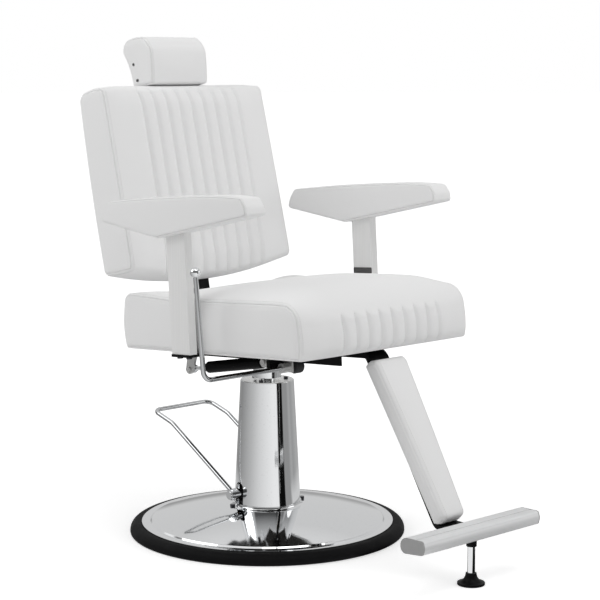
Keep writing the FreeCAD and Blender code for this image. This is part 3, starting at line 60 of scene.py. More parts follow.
ARC_POINTS = 11         # points of a rounded corner of an outline
SIDE_POINTS = 34        # points of a straight side, with both ends
SEAM_ROW = 6            # rows from a cushion's side to its seam
STITCH_ROW = 9          # rows from a cushion's side to the stitches beside the seam
FLAT_HALF = 0.16        # how far from the middle the seat and the back swell in full
SIDES = (("right", -1.0), ("left", 1.0))

# Angles over a sewn edge in degrees, and the share of the seam's depth there
SEAM_PROFILE = ((14, 0), (28, 0), (41, 0), (49, 0.12), (55, 0.62), (60, 1.0), (65, 0.62),
                (71, 0.12), (80, 0), (90, 0))

# How far from a sewn channel line the mesh has its ticks
LINE_TICKS = (0.0, 0.0011, 0.0024, 0.0046, 0.0080, 0.0125)
LINE_WIDTH = 0.0044     # how far the vinyl dips beside the line

# The share and the tone of the painted shade that darkens the vinyl in its seams, sewn lines and
# rolled edges
PAINTED_SHADE_SHARE = 0.80
PAINTED_SHADE_TONE = (0.66, 0.655, 0.645, 1.0)


# Settings that a user would change


def length(name, about, value):
    return bpy.props.FloatProperty(name=name, description=about, default=value, min=0.0,
                                   unit="LENGTH", precision=4)


def colour(name, about, value):
    return bpy.props.FloatVectorProperty(name=name, description=about, default=value, size=3,
                                         min=0.0, max=1.0, subtype="COLOR")


def power(name, about, value):
    return bpy.props.FloatProperty(name=name, description=about, default=value, min=0.0,
                                   unit="POWER")


class ChairUpholstery(bpy.types.PropertyGroup):
    channel_count: bpy.props.IntProperty(
        name="Channel Seams", description="Sewn lines across the seat's front and the back",
        default=9, min=2, max=15)
    channel_pitch: length("Channel Pitch", "Distance from one sewn line to the next", 0.0365)
    channel_depth: length("Channel Depth", "How deep a sewn line pulls the vinyl in", 0.0043)
    channel_puff: length("Channel Puff", "How far the padding swells between two lines", 0.0046)
    seam_depth: length("Seam Depth", "Depth of the groove where two panels are joined", 0.0027)
    stitch_pitch: length("Stitch Pitch", "Distance from one stitch to the next", 0.0048)
    stitch_length: length("Stitch Length", "Length of one stitch", 0.0034)
    thread_width: length("Thread Width", "Thickness of the sewing thread", 0.0008)
    seat_crown: length("Seat Crown", "How far the seat's top rises above its side seams", 0.027)
    front_puff: length("Front Puff", "How far the seat's front panel swells", 0.020)
    back_puff: length("Back Puff", "How far the back's front panel swells", 0.012)
    swelling: length("Largest Swelling", "How far the cloth simulation may move the vinyl", 0.004)
    voxel: length("Simulation Voxel", "Mesh size of the simulated copy of a cushion", 0.011)


class ChairColours(bpy.types.PropertyGroup):
    vinyl: colour("Vinyl", "Upholstery", (0.80, 0.80, 0.795))
    thread: colour("Thread", "Sewing thread", (0.74, 0.74, 0.73))
    chrome: colour("Chrome", "Polished plating", (0.88, 0.89, 0.90))
    # Darker than the chrome: painted dark reflection on the thin plated rods
    wire: colour("Bent Rods", "Plating of the pedal and the recline lever", (0.62, 0.63, 0.64))
    steel: colour("Satin Steel", "Small brackets and the headrest's post", (0.70, 0.70, 0.69))
    post: colour("Arm Posts", "Satin lacquered steel", (0.85, 0.85, 0.845))
    aluminium: colour("Aluminium", "Foot bar", (0.80, 0.805, 0.81))
    coating: colour("Black Coating", "Frame under the seat", (0.005, 0.005, 0.0055))
    rubber: colour("Rubber", "Floor ring", (0.0035, 0.0035, 0.004))
    plastic: colour("Black Plastic", "Foot and collar", (0.005, 0.005, 0.0055))
    end_cap: colour("End Caps", "Plates on the foot bar's ends", (0.34, 0.34, 0.34))
    plywood: colour("Plywood", "Boards inside the upholstery", (0.55, 0.38, 0.21))
    stained: colour("Stained Board", "Board under the seat", (0.022, 0.020, 0.018))


class ChairStage(bpy.types.PropertyGroup):
    ambient: bpy.props.FloatProperty(name="Ambient", description="Soft light from all round",
                                     default=0.50, min=0.0)
    key_power: power("Key Light", "Large soft lamp above", 44.0)
    fill_power: power("Fill Light", "Soft lamp at the front", 2.5)
    side_power: power("Side Lights", "Soft lamps at both sides", 19.0)
    floor: colour("Floor", "Plain pale floor", (0.86, 0.86, 0.86))
    camera_distance: length("Camera Distance", "From the chair's axis to the camera", 4.078)
    lens: bpy.props.FloatProperty(name="Lens", description="Focal length in millimetres",
                                  default=108.0, min=1.0)


# Places


def tilted(points, angle, y, z):
    """Points (x, a, b) turned about the x axis, with the corner of their frame at y, z."""
    p = np.asarray(points, float)
    c, s = math.cos(angle), math.sin(angle)
    return np.stack([p[..., 0], y + p[..., 1] * c + p[..., 2] * s,
                     z - p[..., 1] * s + p[..., 2] * c], -1)


def in_seat(points):
    """Points (x, y, z) of the seat's own frame in the chair."""
    return tilted(points, SEAT_TILT, 0.0, SEAT_HEIGHT)


def in_back(points):
    """Points (x, depth, height) of the back's own frame in the chair."""
    return in_seat(tilted(points, BACK_LEAN, *BACK_FOOT))


def on_calf(points):
    """Points (x, along, out) of the calf pad's own frame in the chair."""
    p = np.asarray(points, float)
    way = direction(CALF_TOP, CALF_BOTTOM)
    return np.stack([p[..., 0], CALF_TOP[0] + way[0] * p[..., 1] + way[1] * p[..., 2],
                     CALF_TOP[1] + way[1] * p[..., 1] - way[0] * p[..., 2]], -1)


# Outlines of cushions


def direction(a, b):
    way = np.subtract(b, a)
    return way / np.hypot(*way)


def inset_corners(corners, inset):
    """Corners of an anticlockwise outline with each side moved inward."""
    moved = []
    for i, here in enumerate(corners):
        d1 = direction(corners[i - 1], here)
        d2 = direction(here, corners[(i + 1) % len(corners)])
        n1, n2 = np.array((-d1[1], d1[0])), np.array((-d2[1], d2[0]))
        moved.append(np.asarray(here) + inset * (n1 + n2) / (1.0 + n1 @ n2))
    return moved


def dense_outline(corners, radii, bulges):
    """Closed outline with rounded corners and bulged sides, and where each corner's middle is."""
    arcs = []
    for i, here in enumerate(corners):
        d1 = direction(here, corners[i - 1])
        d2 = direction(here, corners[(i + 1) % len(corners)])
        half = math.acos(max(-1.0, min(1.0, d1 @ d2))) / 2.0
        radius = max(radii[i], 0.0004)
        start = here + d1 * radius / math.tan(half)
        centre = here + (d1 + d2) / np.hypot(*(d1 + d2)) * radius / math.sin(half)
        angles = (math.atan2(*(start - centre)[::-1])
                  + (math.pi - 2.0 * half) * np.linspace(0.0, 1.0, ARC_POINTS))
        arcs.append(centre + radius * np.stack([np.cos(angles), np.sin(angles)], -1))
    points, middles = [], []
    for i, arc in enumerate(arcs):
        middles.append(sum(len(p) for p in points) + ARC_POINTS // 2)
        start, end = arc[-1], arcs[(i + 1) % len(arcs)][0]
        t = np.linspace(0.0, 1.0, SIDE_POINTS)[1:-1, None]
        way = direction(start, end)
        points += [arc, start + (end - start) * t
                   + np.array((way[1], -way[0])) * bulges[i] * 4.0 * t * (1.0 - t)]
    return np.concatenate(points), middles


def sampled(points, splits, counts, turn_weight=0.014):
    """Outline cut into four sides with a fixed count of points each, closer where it turns."""
    closed = np.concatenate([points, points[:1]])
    steps = np.diff(closed, axis=0)
    runs = np.hypot(steps[:, 0], steps[:, 1])
    angle = np.unwrap(np.arctan2(steps[:, 1], steps[:, 0]))
    turns = np.abs(np.diff(angle, append=angle[0] + 2.0 * math.pi))
    weight = runs + turn_weight * (turns + np.roll(turns, 1)) / 2.0
    along = np.concatenate([[0.0], np.cumsum(weight)])
    places = []
    for side, count in enumerate(counts):
        a, b = along[splits[side]], along[splits[(side + 1) % 4]]
        b += along[-1] if b <= a else 0.0
        places.append(a + (b - a) * np.arange(count) / count)
    places = np.concatenate(places) % along[-1]
    return np.stack([np.interp(places, along, closed[:, axis]) for axis in (0, 1)], -1)


def cushion_loop(corners, radii, bulges, counts, inset, give=1.0, least=0.002, splits=range(4)):
    """Outline of one slice: corners moved inward, rounded and cut into points."""
    points, middles = dense_outline(inset_corners(corners, inset),
                                    [max(r - inset * give, least) for r in radii], bulges)
    return sampled(points, [middles[k] for k in splits], counts)


def outward(loop):
    """Outward direction at each point of an anticlockwise loop."""
    way = np.roll(loop, -1, 0) - np.roll(loop, 1, 0)
    way = np.stack([way[:, 1], -way[:, 0]], -1)
    return way / np.maximum(np.hypot(way[:, 0], way[:, 1]), 1e-9)[:, None]


def slices(ticks, half, edge, seam):
    """Slices (x, inset, sunk) of a cushion, with a rounded and sewn edge at each side."""
    rim = []
    for degrees, sunk in SEAM_PROFILE:
        turn, reach = math.radians(degrees), edge - seam * sunk
        rim.append((half - edge + reach * math.sin(turn), edge - reach * math.cos(turn), sunk))
    return ([(-x, inset, sunk) for x, inset, sunk in rim[::-1]]
            + [(x, 0.0, 0.0) for x in ticks] + rim)


def slice_row(x, loop):
    """Points (x, a, b) of one slice."""
    return np.column_stack([np.broadcast_to(x, len(loop)), loop])


def swell_at(x, half, flat, least):
    """Share of a cushion's swelling at x: whole within flat, least at the side."""
    beyond = max(0.0, (abs(x) - flat) / (half - flat))
    return least + (1.0 - least) * math.sqrt(max(0.0, 1.0 - beyond ** 2))


def in_scene(name, data):
    thing = bpy.data.objects.new(name, data)
    bpy.context.scene.collection.objects.link(thing)
    return thing


def band_faces(total, around):
    """Quads between rings of points."""
    return [(s * around + m, s * around + (m + 1) % around,
             (s + 1) * around + (m + 1) % around, (s + 1) * around + m)
            for s in range(total - 1) for m in range(around)]


def closed_piece(name, points, faces, sharp, painted_shades=None):
    """A closed mesh in the scene, smooth but for edges over an angle in degrees."""
    mesh = bpy.data.meshes.new(name)
    mesh.from_pydata(points.tolist(), [], faces)
    # Painted shade: a share on each vertex that darkens the vinyl in its grooves and over its
    # rolled edges
    if painted_shades is not None:
        fold = mesh.attributes.new("fold", "FLOAT", "POINT")
        fold.data.foreach_set("value", painted_shades.astype(np.float32))
    build = bmesh.new()
    build.from_mesh(mesh)
    bmesh.ops.recalc_face_normals(build, faces=build.faces)
    build.to_mesh(mesh)
    build.free()
    mesh.shade_smooth()
    mesh.set_sharp_from_angle(angle=math.radians(sharp))
    return in_scene(name, mesh)


def surface(name, rows, painted_shades, counts, side_puff, place):
    """Closed quad mesh through rows of points (x, a, b), with a grid at each end."""
    rows = np.array(rows)
    total, around = rows.shape[:2]
    n0, n1 = counts[:2]
    # Painted shade share of each vertex, with none on the end grids
    vertices, shades = [rows.reshape(-1, 3)], [np.ravel(painted_shades)]
    faces = band_faces(total, around)
    start = total * around
    for end, sign in ((0, -1.0), (total - 1, 1.0)):
        loop = rows[end]
        u = np.linspace(0.0, 1.0, n0 + 1)[1:-1, None, None]
        v = np.linspace(0.0, 1.0, n1 + 1)[None, 1:-1, None]
        low = loop[1:n0][:, None, :]
        high = loop[n0 + n1 + 1:2 * n0 + n1][::-1][:, None, :]
        right = loop[n0 + 1:n0 + n1][None, :, :]
        left = loop[2 * n0 + n1 + 1:][::-1][None, :, :]
        c00, c10, c11, c01 = loop[0], loop[n0], loop[n0 + n1], loop[2 * n0 + n1]
        grid = ((1 - v) * low + v * high + (1 - u) * left + u * right
                - (1 - u) * (1 - v) * c00 - u * (1 - v) * c10 - u * v * c11 - (1 - u) * v * c01)
        swell = (np.sin(np.pi * u) * np.sin(np.pi * v))[..., 0] ** 0.45
        grid[..., 0] += sign * side_puff * swell
        vertices.append(grid.reshape(-1, 3))
        shades.append(np.zeros((n0 - 1) * (n1 - 1)))
        ring = end * around + np.arange(around + 1) % around
        spots = np.empty((n0 + 1, n1 + 1), int)
        spots[:, 0], spots[n0] = ring[:n0 + 1], ring[n0:n0 + n1 + 1]
        spots[::-1, n1], spots[0, ::-1] = ring[n0 + n1:2 * n0 + n1 + 1], ring[2 * n0 + n1:]
        spots[1:-1, 1:-1] = start + np.arange((n0 - 1) * (n1 - 1)).reshape(n0 - 1, n1 - 1)
        faces += np.stack([spots[:-1, :-1], spots[1:, :-1], spots[1:, 1:], spots[:-1, 1:]],
                          -1).reshape(-1, 4).tolist()
        start += (n0 - 1) * (n1 - 1)
    return closed_piece(name, place(np.concatenate(vertices)), faces, 62.0,
                        np.concatenate(shades))


def spread(low, high, step):
    """Even ticks from low to high, both included."""
    count = max(1, round((high - low) / step))
    return [low + (high - low) * i / count for i in range(count + 1)]


def channel_places(settings):
    """Where the sewn channel lines are across a cushion."""
    half = (settings.channel_count - 1) / 2.0 * settings.channel_pitch
    return [-half + i * settings.channel_pitch for i in range(settings.channel_count)]


def channel_ticks(settings, reach):
    """Ticks across a cushion, close together at each sewn line."""
    lines = channel_places(settings)
    ticks = [line + sign * away for line in lines for away in LINE_TICKS for _, sign in SIDES]
    ticks += [line - settings.channel_pitch / 2.0 for line in lines[1:]]
    outer = spread(0.021 - lines[0], reach, 0.0085)
    return sorted(set(round(t, 6) for t in ticks + outer + [-t for t in outer]))


def channel_relief(settings, x):
    """How far the sewn channels lift the vinyl at x, and how deep in a sewn line it is."""
    pitch, lines = settings.channel_pitch, channel_places(settings)
    steps = (x - lines[0]) / pitch
    away = min(abs(x - line) for line in lines)
    if -1e-6 <= steps <= len(lines) - 1 + 1e-6:
        lift = settings.channel_puff * abs(math.sin(math.pi * steps)) ** 0.7
    else:
        lift = settings.channel_puff * math.exp(-((away - pitch * 0.4) / (pitch * 0.5)) ** 2) * 0.5
        lift *= min(1.0, away / 0.006)
    depth = math.exp(-(away / LINE_WIDTH) ** 2)
    return lift - settings.channel_depth * depth, depth


def rolled_shade(x, half, most=0.34, middle=0.013, width=0.010):
    """Share of the painted shade where a panel rolls over towards its side seam."""
    return most * math.exp(-((half - abs(x) - middle) / width) ** 2)


def smooth_step(value, low, high):
    t = np.clip((value - low) / (high - low), 0.0, 1.0)
    return t * t * (3.0 - 2.0 * t)


def channel_lines(settings, cuts, rows, order, keep):
    """Vertices down each sewn channel line, where keep(a, b) says."""
    around, lines = len(rows[0]), []
    for place in channel_places(settings):
        s = int(np.argmin([abs(cut[0] - place) for cut in cuts]))
        row = rows[s]
        ring = [m for m in range(around) if keep(*row[m, 1:])]
        lines.append([s * around + m for m in sorted(ring, key=lambda m: order * row[m, 2])])
    return lines


def side_lines(rows, keep):
    """Vertices of the stitched line beside each side seam, where keep(a, b) says."""
    around, lines = len(rows[0]), []
    for s in (STITCH_ROW, len(rows) - 1 - STITCH_ROW):
        ring = [m for m in range(around) if keep(*rows[s][m, 1:])]
        if len(ring) == around:
            ring.append(ring[0])
        else:
            first = next(i for i, m in enumerate(ring) if (m - 1) % around not in ring)
            ring = ring[first:] + ring[:first]
        lines.append([s * around + m for m in ring])
    return lines


def seam_points(piece, rows):
    """Places of a cushion's vertices along both side seams."""
    around = len(rows[0])
    return [piece.data.vertices[s * around + m].co.copy()
            for s in (SEAM_ROW, len(rows) - 1 - SEAM_ROW) for m in range(around)]


# Cloth


CLOTH = {"quality": 6, "mass": 0.35, "tension_stiffness": 18.0, "compression_stiffness": 18.0,
         "shear_stiffness": 8.0, "bending_stiffness": 1.5, "use_pressure": True,
         "uniform_pressure_force": 4.0, "vertex_group_mass": "held"}
CLOTH_STEPS = 20
HOLD = 0.013            # how near a seam the vinyl is held


def edge_pairs(mesh):
    pairs = np.empty(len(mesh.edges) * 2, np.int32)
    mesh.edges.foreach_get("vertices", pairs)
    return pairs.reshape(-1, 2)


def coordinates(mesh):
    flat = np.empty(len(mesh.vertices) * 3, np.float32)
    mesh.vertices.foreach_get("co", flat)
    return flat.reshape(-1, 3).astype(float)


def even_out(values, pairs, rounds):
    """Values on vertices, each moved towards the mean of its neighbours."""
    degree = np.bincount(pairs.ravel(), minlength=len(values))[:, None]
    for _ in range(rounds):
        total = np.zeros_like(values)
        np.add.at(total, pairs[:, 0], values[pairs[:, 1]])
        np.add.at(total, pairs[:, 1], values[pairs[:, 0]])
        values = values * 0.5 + 0.5 * total / np.maximum(degree, 1)
    return values


def plain_mesh(piece):
    """A new mesh of what a piece's modifiers make."""
    graph = bpy.context.evaluated_depsgraph_get()
    return bpy.data.meshes.new_from_object(piece.evaluated_get(graph))


def swell_like_cloth(piece, seams, settings):
    """Blows up a copy of the cushion between its seams and moves the piece with it."""
    scene = bpy.context.scene
    sack = in_scene(piece.name + "_sack", piece.data.copy())
    remesh = sack.modifiers.new("Even Mesh", "REMESH")
    remesh.mode = "VOXEL"
    remesh.voxel_size = settings.voxel
    sack.data = plain_mesh(sack)
    sack.modifiers.clear()
    rest = coordinates(sack.data)
    tree = KDTree(len(seams))
    for i, point in enumerate(seams):
        tree.insert(point, i)
    tree.balance()
    held = sack.vertex_groups.new(name="held")
    free = np.ones(len(rest))
    for i, point in enumerate(rest):
        distance = tree.find(point)[2]
        free[i] = smooth_step(distance, 0.0, HOLD * 2.2)
        held.add([i], float(1.0 - smooth_step(distance, HOLD * 0.4, HOLD)), "REPLACE")
    cloth = sack.modifiers.new("Vinyl", "CLOTH")
    for key, value in CLOTH.items():
        setattr(cloth.settings, key, value)
    cloth.settings.effector_weights.gravity = 0.0
    cloth.collision_settings.use_collision = False
    cloth.point_cache.frame_start, cloth.point_cache.frame_end = 1, CLOTH_STEPS
    for step in range(1, CLOTH_STEPS + 1):
        scene.frame_set(step)
    blown = plain_mesh(sack)
    sack.modifiers.clear()
    scene.frame_set(1)
    move = even_out((coordinates(blown) - rest) * free[:, None], edge_pairs(sack.data), 2)
    size = np.maximum(np.linalg.norm(move, axis=1), 1e-9)
    move *= (settings.swelling * np.tanh(size / settings.swelling) / size)[:, None]
    sack.data.calc_loop_triangles()
    triangles = [tuple(t.vertices) for t in sack.data.loop_triangles]
    finder = BVHTree.FromPolygons([tuple(p) for p in rest], triangles)
    fine = coordinates(piece.data)
    shift = np.zeros_like(fine)
    for i, point in enumerate(fine):
        spot, _, face, _ = finder.find_nearest(point)
        corners = triangles[face]
        a, b, c = (rest[k] for k in corners)
        weights = np.linalg.lstsq(np.stack([b - a, c - a], 1), np.asarray(spot) - a, rcond=None)[0]
        w = np.clip((1.0 - weights.sum(), weights[0], weights[1]), 0.0, 1.0)
        shift[i] = sum(w[k] * move[corners[k]] for k in range(3)) / w.sum()
    shift = even_out(shift, edge_pairs(piece.data), 6)
    piece.data.vertices.foreach_set("co", (fine + shift).astype(np.float32).ravel())
    piece.data.update()
    bpy.data.objects.remove(sack)


# Nodes


def feed(tree, node, inputs):
    """Links or sets a node's inputs, given by name or number."""
    for key, value in inputs.items():
        if isinstance(value, bpy.types.NodeSocket):
            tree.links.new(value, node.inputs[key])
        else:
            node.inputs[key].default_value = value


def add(tree, kind, inputs=None, **values):
    """A new node with its properties and inputs."""
    node = tree.nodes.new(kind)
    for key, value in values.items():
        setattr(node, key, value)
    feed(tree, node, inputs or {})
    return node


def maths(tree, operation, *inputs):
    """The result of a calculation with numbers and sockets."""
    return add(tree, "ShaderNodeMath", dict(enumerate(inputs)), operation=operation).outputs[0]


def vector_maths(tree, operation, *inputs):
    """The outputs of a calculation with vectors."""
    return add(tree, "ShaderNodeVectorMath", dict(enumerate(inputs)), operation=operation).outputs


def node_group(name, inputs, outputs):
    """Shader group with a vector and other inputs, its input sockets and its output node."""
    group = bpy.data.node_groups.new(name, "ShaderNodeTree")
    face = group.interface
    face.new_socket("Vector", in_out="INPUT", socket_type="NodeSocketVector")
    for label, value in inputs.items():
        kind = "NodeSocketFloat" if isinstance(value, float) else "NodeSocketVector"
        face.new_socket(label, in_out="INPUT", socket_type=kind).default_value = value
    for label in outputs:
        face.new_socket(label, in_out="OUTPUT", socket_type="NodeSocketFloat")
    return group, add(group, "NodeGroupInput").outputs, add(group, "NodeGroupOutput")


def scaled(group, vector, factor, stretch=(1.0, 1.0, 1.0)):
    """A vector times a factor socket, with a stretch on each axis."""
    stretched = vector_maths(group, "MULTIPLY", vector, stretch)[0]
    return add(group, "ShaderNodeVectorMath", {0: stretched, "Scale": factor},
               operation="SCALE").outputs[0]


def noise(group, vector, scale, detail, roughness=0.5, distortion=0.0):
    return add(group, "ShaderNodeTexNoise", {
        "Vector": vector, "Scale": scale, "Detail": detail, "Roughness": roughness,
        "Distortion": distortion}).outputs["Fac"]


def weighed(group, first, second, weight):
    """first plus second times a fixed weight."""
    return maths(group, "MULTIPLY_ADD", second, weight, first)


def mapped(tree, value, low, high, start=0.0, end=1.0):
    return add(tree, "ShaderNodeMapRange", {
        "Value": value, "From Min": start, "From Max": end, "To Min": low,
        "To Max": high}).outputs[0]


def leather_group():
    """Pressed vinyl: pebbled pores, and long soft creases."""
    group, start, end = node_group("Pressed Vinyl", {"Pores": 1.0}, ("Height", "Tone"))
    vector = scaled(group, start["Vector"], start["Pores"])
    cells = add(group, "ShaderNodeTexVoronoi",
                {"Vector": vector, "Scale": 620.0, "Smoothness": 0.6}, feature="SMOOTH_F1")
    creases = noise(group, vector, 17.0, 4.0, 0.55, 0.7)
    fine = weighed(group, cells.outputs["Distance"], noise(group, vector, 300.0, 2.0), 0.35)
    feed(group, end, {"Height": weighed(group, fine, creases, 5.0),
                      "Tone": noise(group, vector, 6.0, 3.0)})
    return group


def marks_group():
    """Faint smears and dust that handling leaves on a hard surface."""
    group, start, end = node_group("Handling Marks", {"Size": 1.0}, ("Smears", "Specks"))
    vector = scaled(group, start["Vector"], start["Size"])
    broad = noise(group, vector, 9.0, 5.0, 0.62, 1.2)
    fine = noise(group, vector, 240.0, 2.0)
    feed(group, end, {"Smears": mapped(group, broad, 0.0, 1.0, 0.38, 0.72),
                      "Specks": mapped(group, fine, 0.0, 1.0, 0.62, 0.78)})
    return group


def brushed_group():
    """Fine parallel lines of brushed or drawn metal along one axis."""
    group, start, end = node_group("Brushed Lines", {"Along": (1.0, 1.0, 0.01), "Density": 1.0},
                                   ("Height", "Tone"))
    vector = scaled(group, start["Vector"], start["Density"], start["Along"])
    feed(group, end, {"Height": noise(group, vector, 900.0, 3.0, 0.7),
                      "Tone": noise(group, vector, 260.0, 3.0)})
    return group


def moulded_group():
    """Slight orange peel of paint, plastic and rubber."""
    group, start, end = node_group("Moulded Skin", {"Fineness": 1.0}, ("Height", "Tone"))
    vector = scaled(group, start["Vector"], start["Fineness"])
    peel = noise(group, vector, 420.0, 2.0, 0.45)
    feed(group, end, {"Height": weighed(group, peel, noise(group, vector, 90.0, 2.0), 0.8),
                      "Tone": noise(group, vector, 22.0, 4.0, 0.6)})
    return group


def plies_group():
    """Layers of a plywood board, and the grain within them."""
    group, start, end = node_group("Plies", {"Layers": 1.0}, ("Layer", "Grain"))
    vector = scaled(group, start["Vector"], start["Layers"])
    wave = add(group, "ShaderNodeTexWave",
               {"Vector": vector, "Scale": 125.0, "Distortion": 0.6, "Detail": 2.0},
               bands_direction="Z")
    grain = scaled(group, start["Vector"], start["Layers"], (9.0, 0.6, 9.0))
    feed(group, end, {"Layer": wave.outputs["Fac"],
                      "Grain": noise(group, grain, 30.0, 5.0, 0.6, 0.3)})
    return group


def new_material(name, metallic=0.0, specular=0.5):
    """A material with its shader and its object coordinates."""
    material = bpy.data.materials.new(name)
    material.use_nodes = True
    tree = material.node_tree
    shader = tree.nodes["Principled BSDF"]
    feed(tree, shader, {"Metallic": metallic, "Specular IOR Level": specular})
    return material, tree, shader, add(tree, "ShaderNodeTexCoord").outputs["Object"]


def placed_group(tree, group, vector, **values):
    """The outputs of a group node on a vector, with its other inputs set."""
    node = add(tree, "ShaderNodeGroup", node_tree=group)
    feed(tree, node, {"Vector": vector, **values})
    return node.outputs


def tinted(tree, mask, first, second):
    """A colour between two, by a mask."""
    return add(tree, "ShaderNodeMix", {"Factor": mask, "A": (*first, 1.0), "B": (*second, 1.0)},
               data_type="RGBA").outputs["Result"]


def bumped(tree, shader, height, strength, distance):
    bump = add(tree, "ShaderNodeBump",
               {"Strength": strength, "Distance": distance, "Height": height})
    feed(tree, shader, {"Normal": bump.outputs["Normal"]})


def darker(rgb, factor):
    return tuple(min(1.0, c * factor) for c in rgb)


def vinyl_material(groups, rgb):
    material, tree, shader, place = new_material("white_vinyl", specular=0.45)
    skin = placed_group(tree, groups["vinyl"], place, Pores=1.0)
    # Painted shade: the vinyl's colour multiplied darker by each vertex's painted shade share
    fold = add(tree, "ShaderNodeAttribute", attribute_name="fold")
    shade = add(tree, "ShaderNodeMix", {
        "Factor": mapped(tree, fold.outputs["Fac"], 0.0, PAINTED_SHADE_SHARE),
        "A": tinted(tree, skin["Tone"], darker(rgb, 1.015), darker(rgb, 0.975)),
        "B": PAINTED_SHADE_TONE}, data_type="RGBA", blend_type="MULTIPLY")
    feed(tree, shader, {"Base Color": shade.outputs["Result"],
                        "Roughness": mapped(tree, skin["Tone"], 0.36, 0.50)})
    bumped(tree, shader, skin["Height"], 0.30, 0.0005)
    return material


def thread_material(groups, rgb):
    material, tree, shader, place = new_material("thread", specular=0.3)
    skin = placed_group(tree, groups["moulded"], place, Fineness=4.0)
    feed(tree, shader, {"Base Color": tinted(tree, skin["Tone"], rgb, darker(rgb, 0.88)),
                        "Roughness": 0.75})
    bumped(tree, shader, skin["Height"], 0.4, 0.0001)
    return material


def chrome_material(groups, name, rgb):
    material, tree, shader, place = new_material(name, metallic=1.0)
    marks = placed_group(tree, groups["marks"], place, Size=1.0)
    feed(tree, shader, {"Base Color": tinted(tree, marks["Specks"], rgb, darker(rgb, 0.9)),
                        "Roughness": mapped(tree, marks["Smears"], 0.035, 0.10)})
    return material


def brushed_material(groups, name, rgb, along, rough, metallic=1.0):
    material, tree, shader, place = new_material(name, metallic=metallic)
    lines = placed_group(tree, groups["brushed"], place, Along=along)
    tone = tinted(tree, lines["Tone"], darker(rgb, 1.04), darker(rgb, 0.92))
    feed(tree, shader, {"Base Color": tone,
                        "Roughness": mapped(tree, lines["Tone"], rough - 0.05, rough + 0.07)})
    bumped(tree, shader, lines["Height"], 0.18, 0.00008)
    return material


def skin_material(groups, name, rgb, rough, depth, metallic=0.0, specular=0.4, fineness=1.0):
    """Paint, plastic, rubber and rough castings."""
    material, tree, shader, place = new_material(name, metallic=metallic, specular=specular)
    skin = placed_group(tree, groups["moulded"], place, Fineness=fineness)
    marks = placed_group(tree, groups["marks"], place, Size=1.6)
    mask = maths(tree, "MAXIMUM", mapped(tree, skin["Tone"], 0.0, 0.6), marks["Specks"])
    pale = tuple(c * 1.15 + 0.002 for c in rgb)
    rough = mapped(tree, marks["Smears"], rough, min(1.0, rough + 0.1))
    feed(tree, shader, {"Base Color": tinted(tree, mask, rgb, pale), "Roughness": rough})
    bumped(tree, shader, skin["Height"], 0.35, depth)
    return material


def plywood_material(groups, name, rgb):
    material, tree, shader, place = new_material(name, specular=0.2)
    plies = placed_group(tree, groups["plies"], place, Layers=1.0)
    mask = maths(tree, "MULTIPLY", plies["Layer"], plies["Grain"])
    tone = tinted(tree, mask, darker(rgb, 1.1), darker(rgb, 0.62))
    feed(tree, shader, {"Base Color": tone,
                        "Roughness": mapped(tree, plies["Grain"], 0.6, 0.8)})
    bumped(tree, shader, plies["Grain"], 0.3, 0.0004)
    return material


# Which finish each solid of the frame takes
FINISHES = {
    "chrome": ("base_dish", "column_cover", "cover_foot_ring", "rocker_shaft", "pedal_nuts", "ram",
               "swivel_hub", "thrust_washer", "lever_ball", "legrest_bolts", "support_rod",
               "gas_spring_rod"),
    # Chrome darkened to stand in for dark reflections on the thin rods: painted reflection
    "chrome_wire": ("pedal_loop", "recline_lever"),
    "satin_cap": ("column_cap",),
    "rubber": ("floor_ring", "ram_seal"),
    "satin_post": ("arm_post_left", "arm_post_right"),
    "satin_steel": ("spring_lug", "spring_front_fork", "lever_bearing", "lug_bolt",
                    "headrest_post"),
    "black_coating": ("under_frame", "arm_bracket_left", "arm_bracket_right", "legrest_arm",
                      "back_bar", "torque_tube", "spring_block", "base_plate",
                      "headrest_socket"),
    "gloss_black": ("gas_spring_cylinder",),
    "dark_steel": ("base_bolts", "cap_screws", "arm_bolts", "pump_plunger"),
    "cast_iron": ("pump_body", "lever_end_knob"),
    "bronze": ("ram_guide_bush", "shaft_bushes", "hinge_bushes"),
    "aluminium": ("footrest_bar",),
    "end_cap": ("footrest_end_caps",),
    "black_plastic": ("support_collar", "support_foot"),
    "stained_plywood": ("seat_board",),
    "plywood": ("calf_pad_board", "back_board", "headrest_board", "armrest_board_left",
                "armrest_board_right"),
    "white_vinyl": ("seat_cushion", "back_cushion", "back_rear_panel", "headrest_pad", "calf_pad",
                    "armrest_pad_left", "armrest_pad_right"),
}


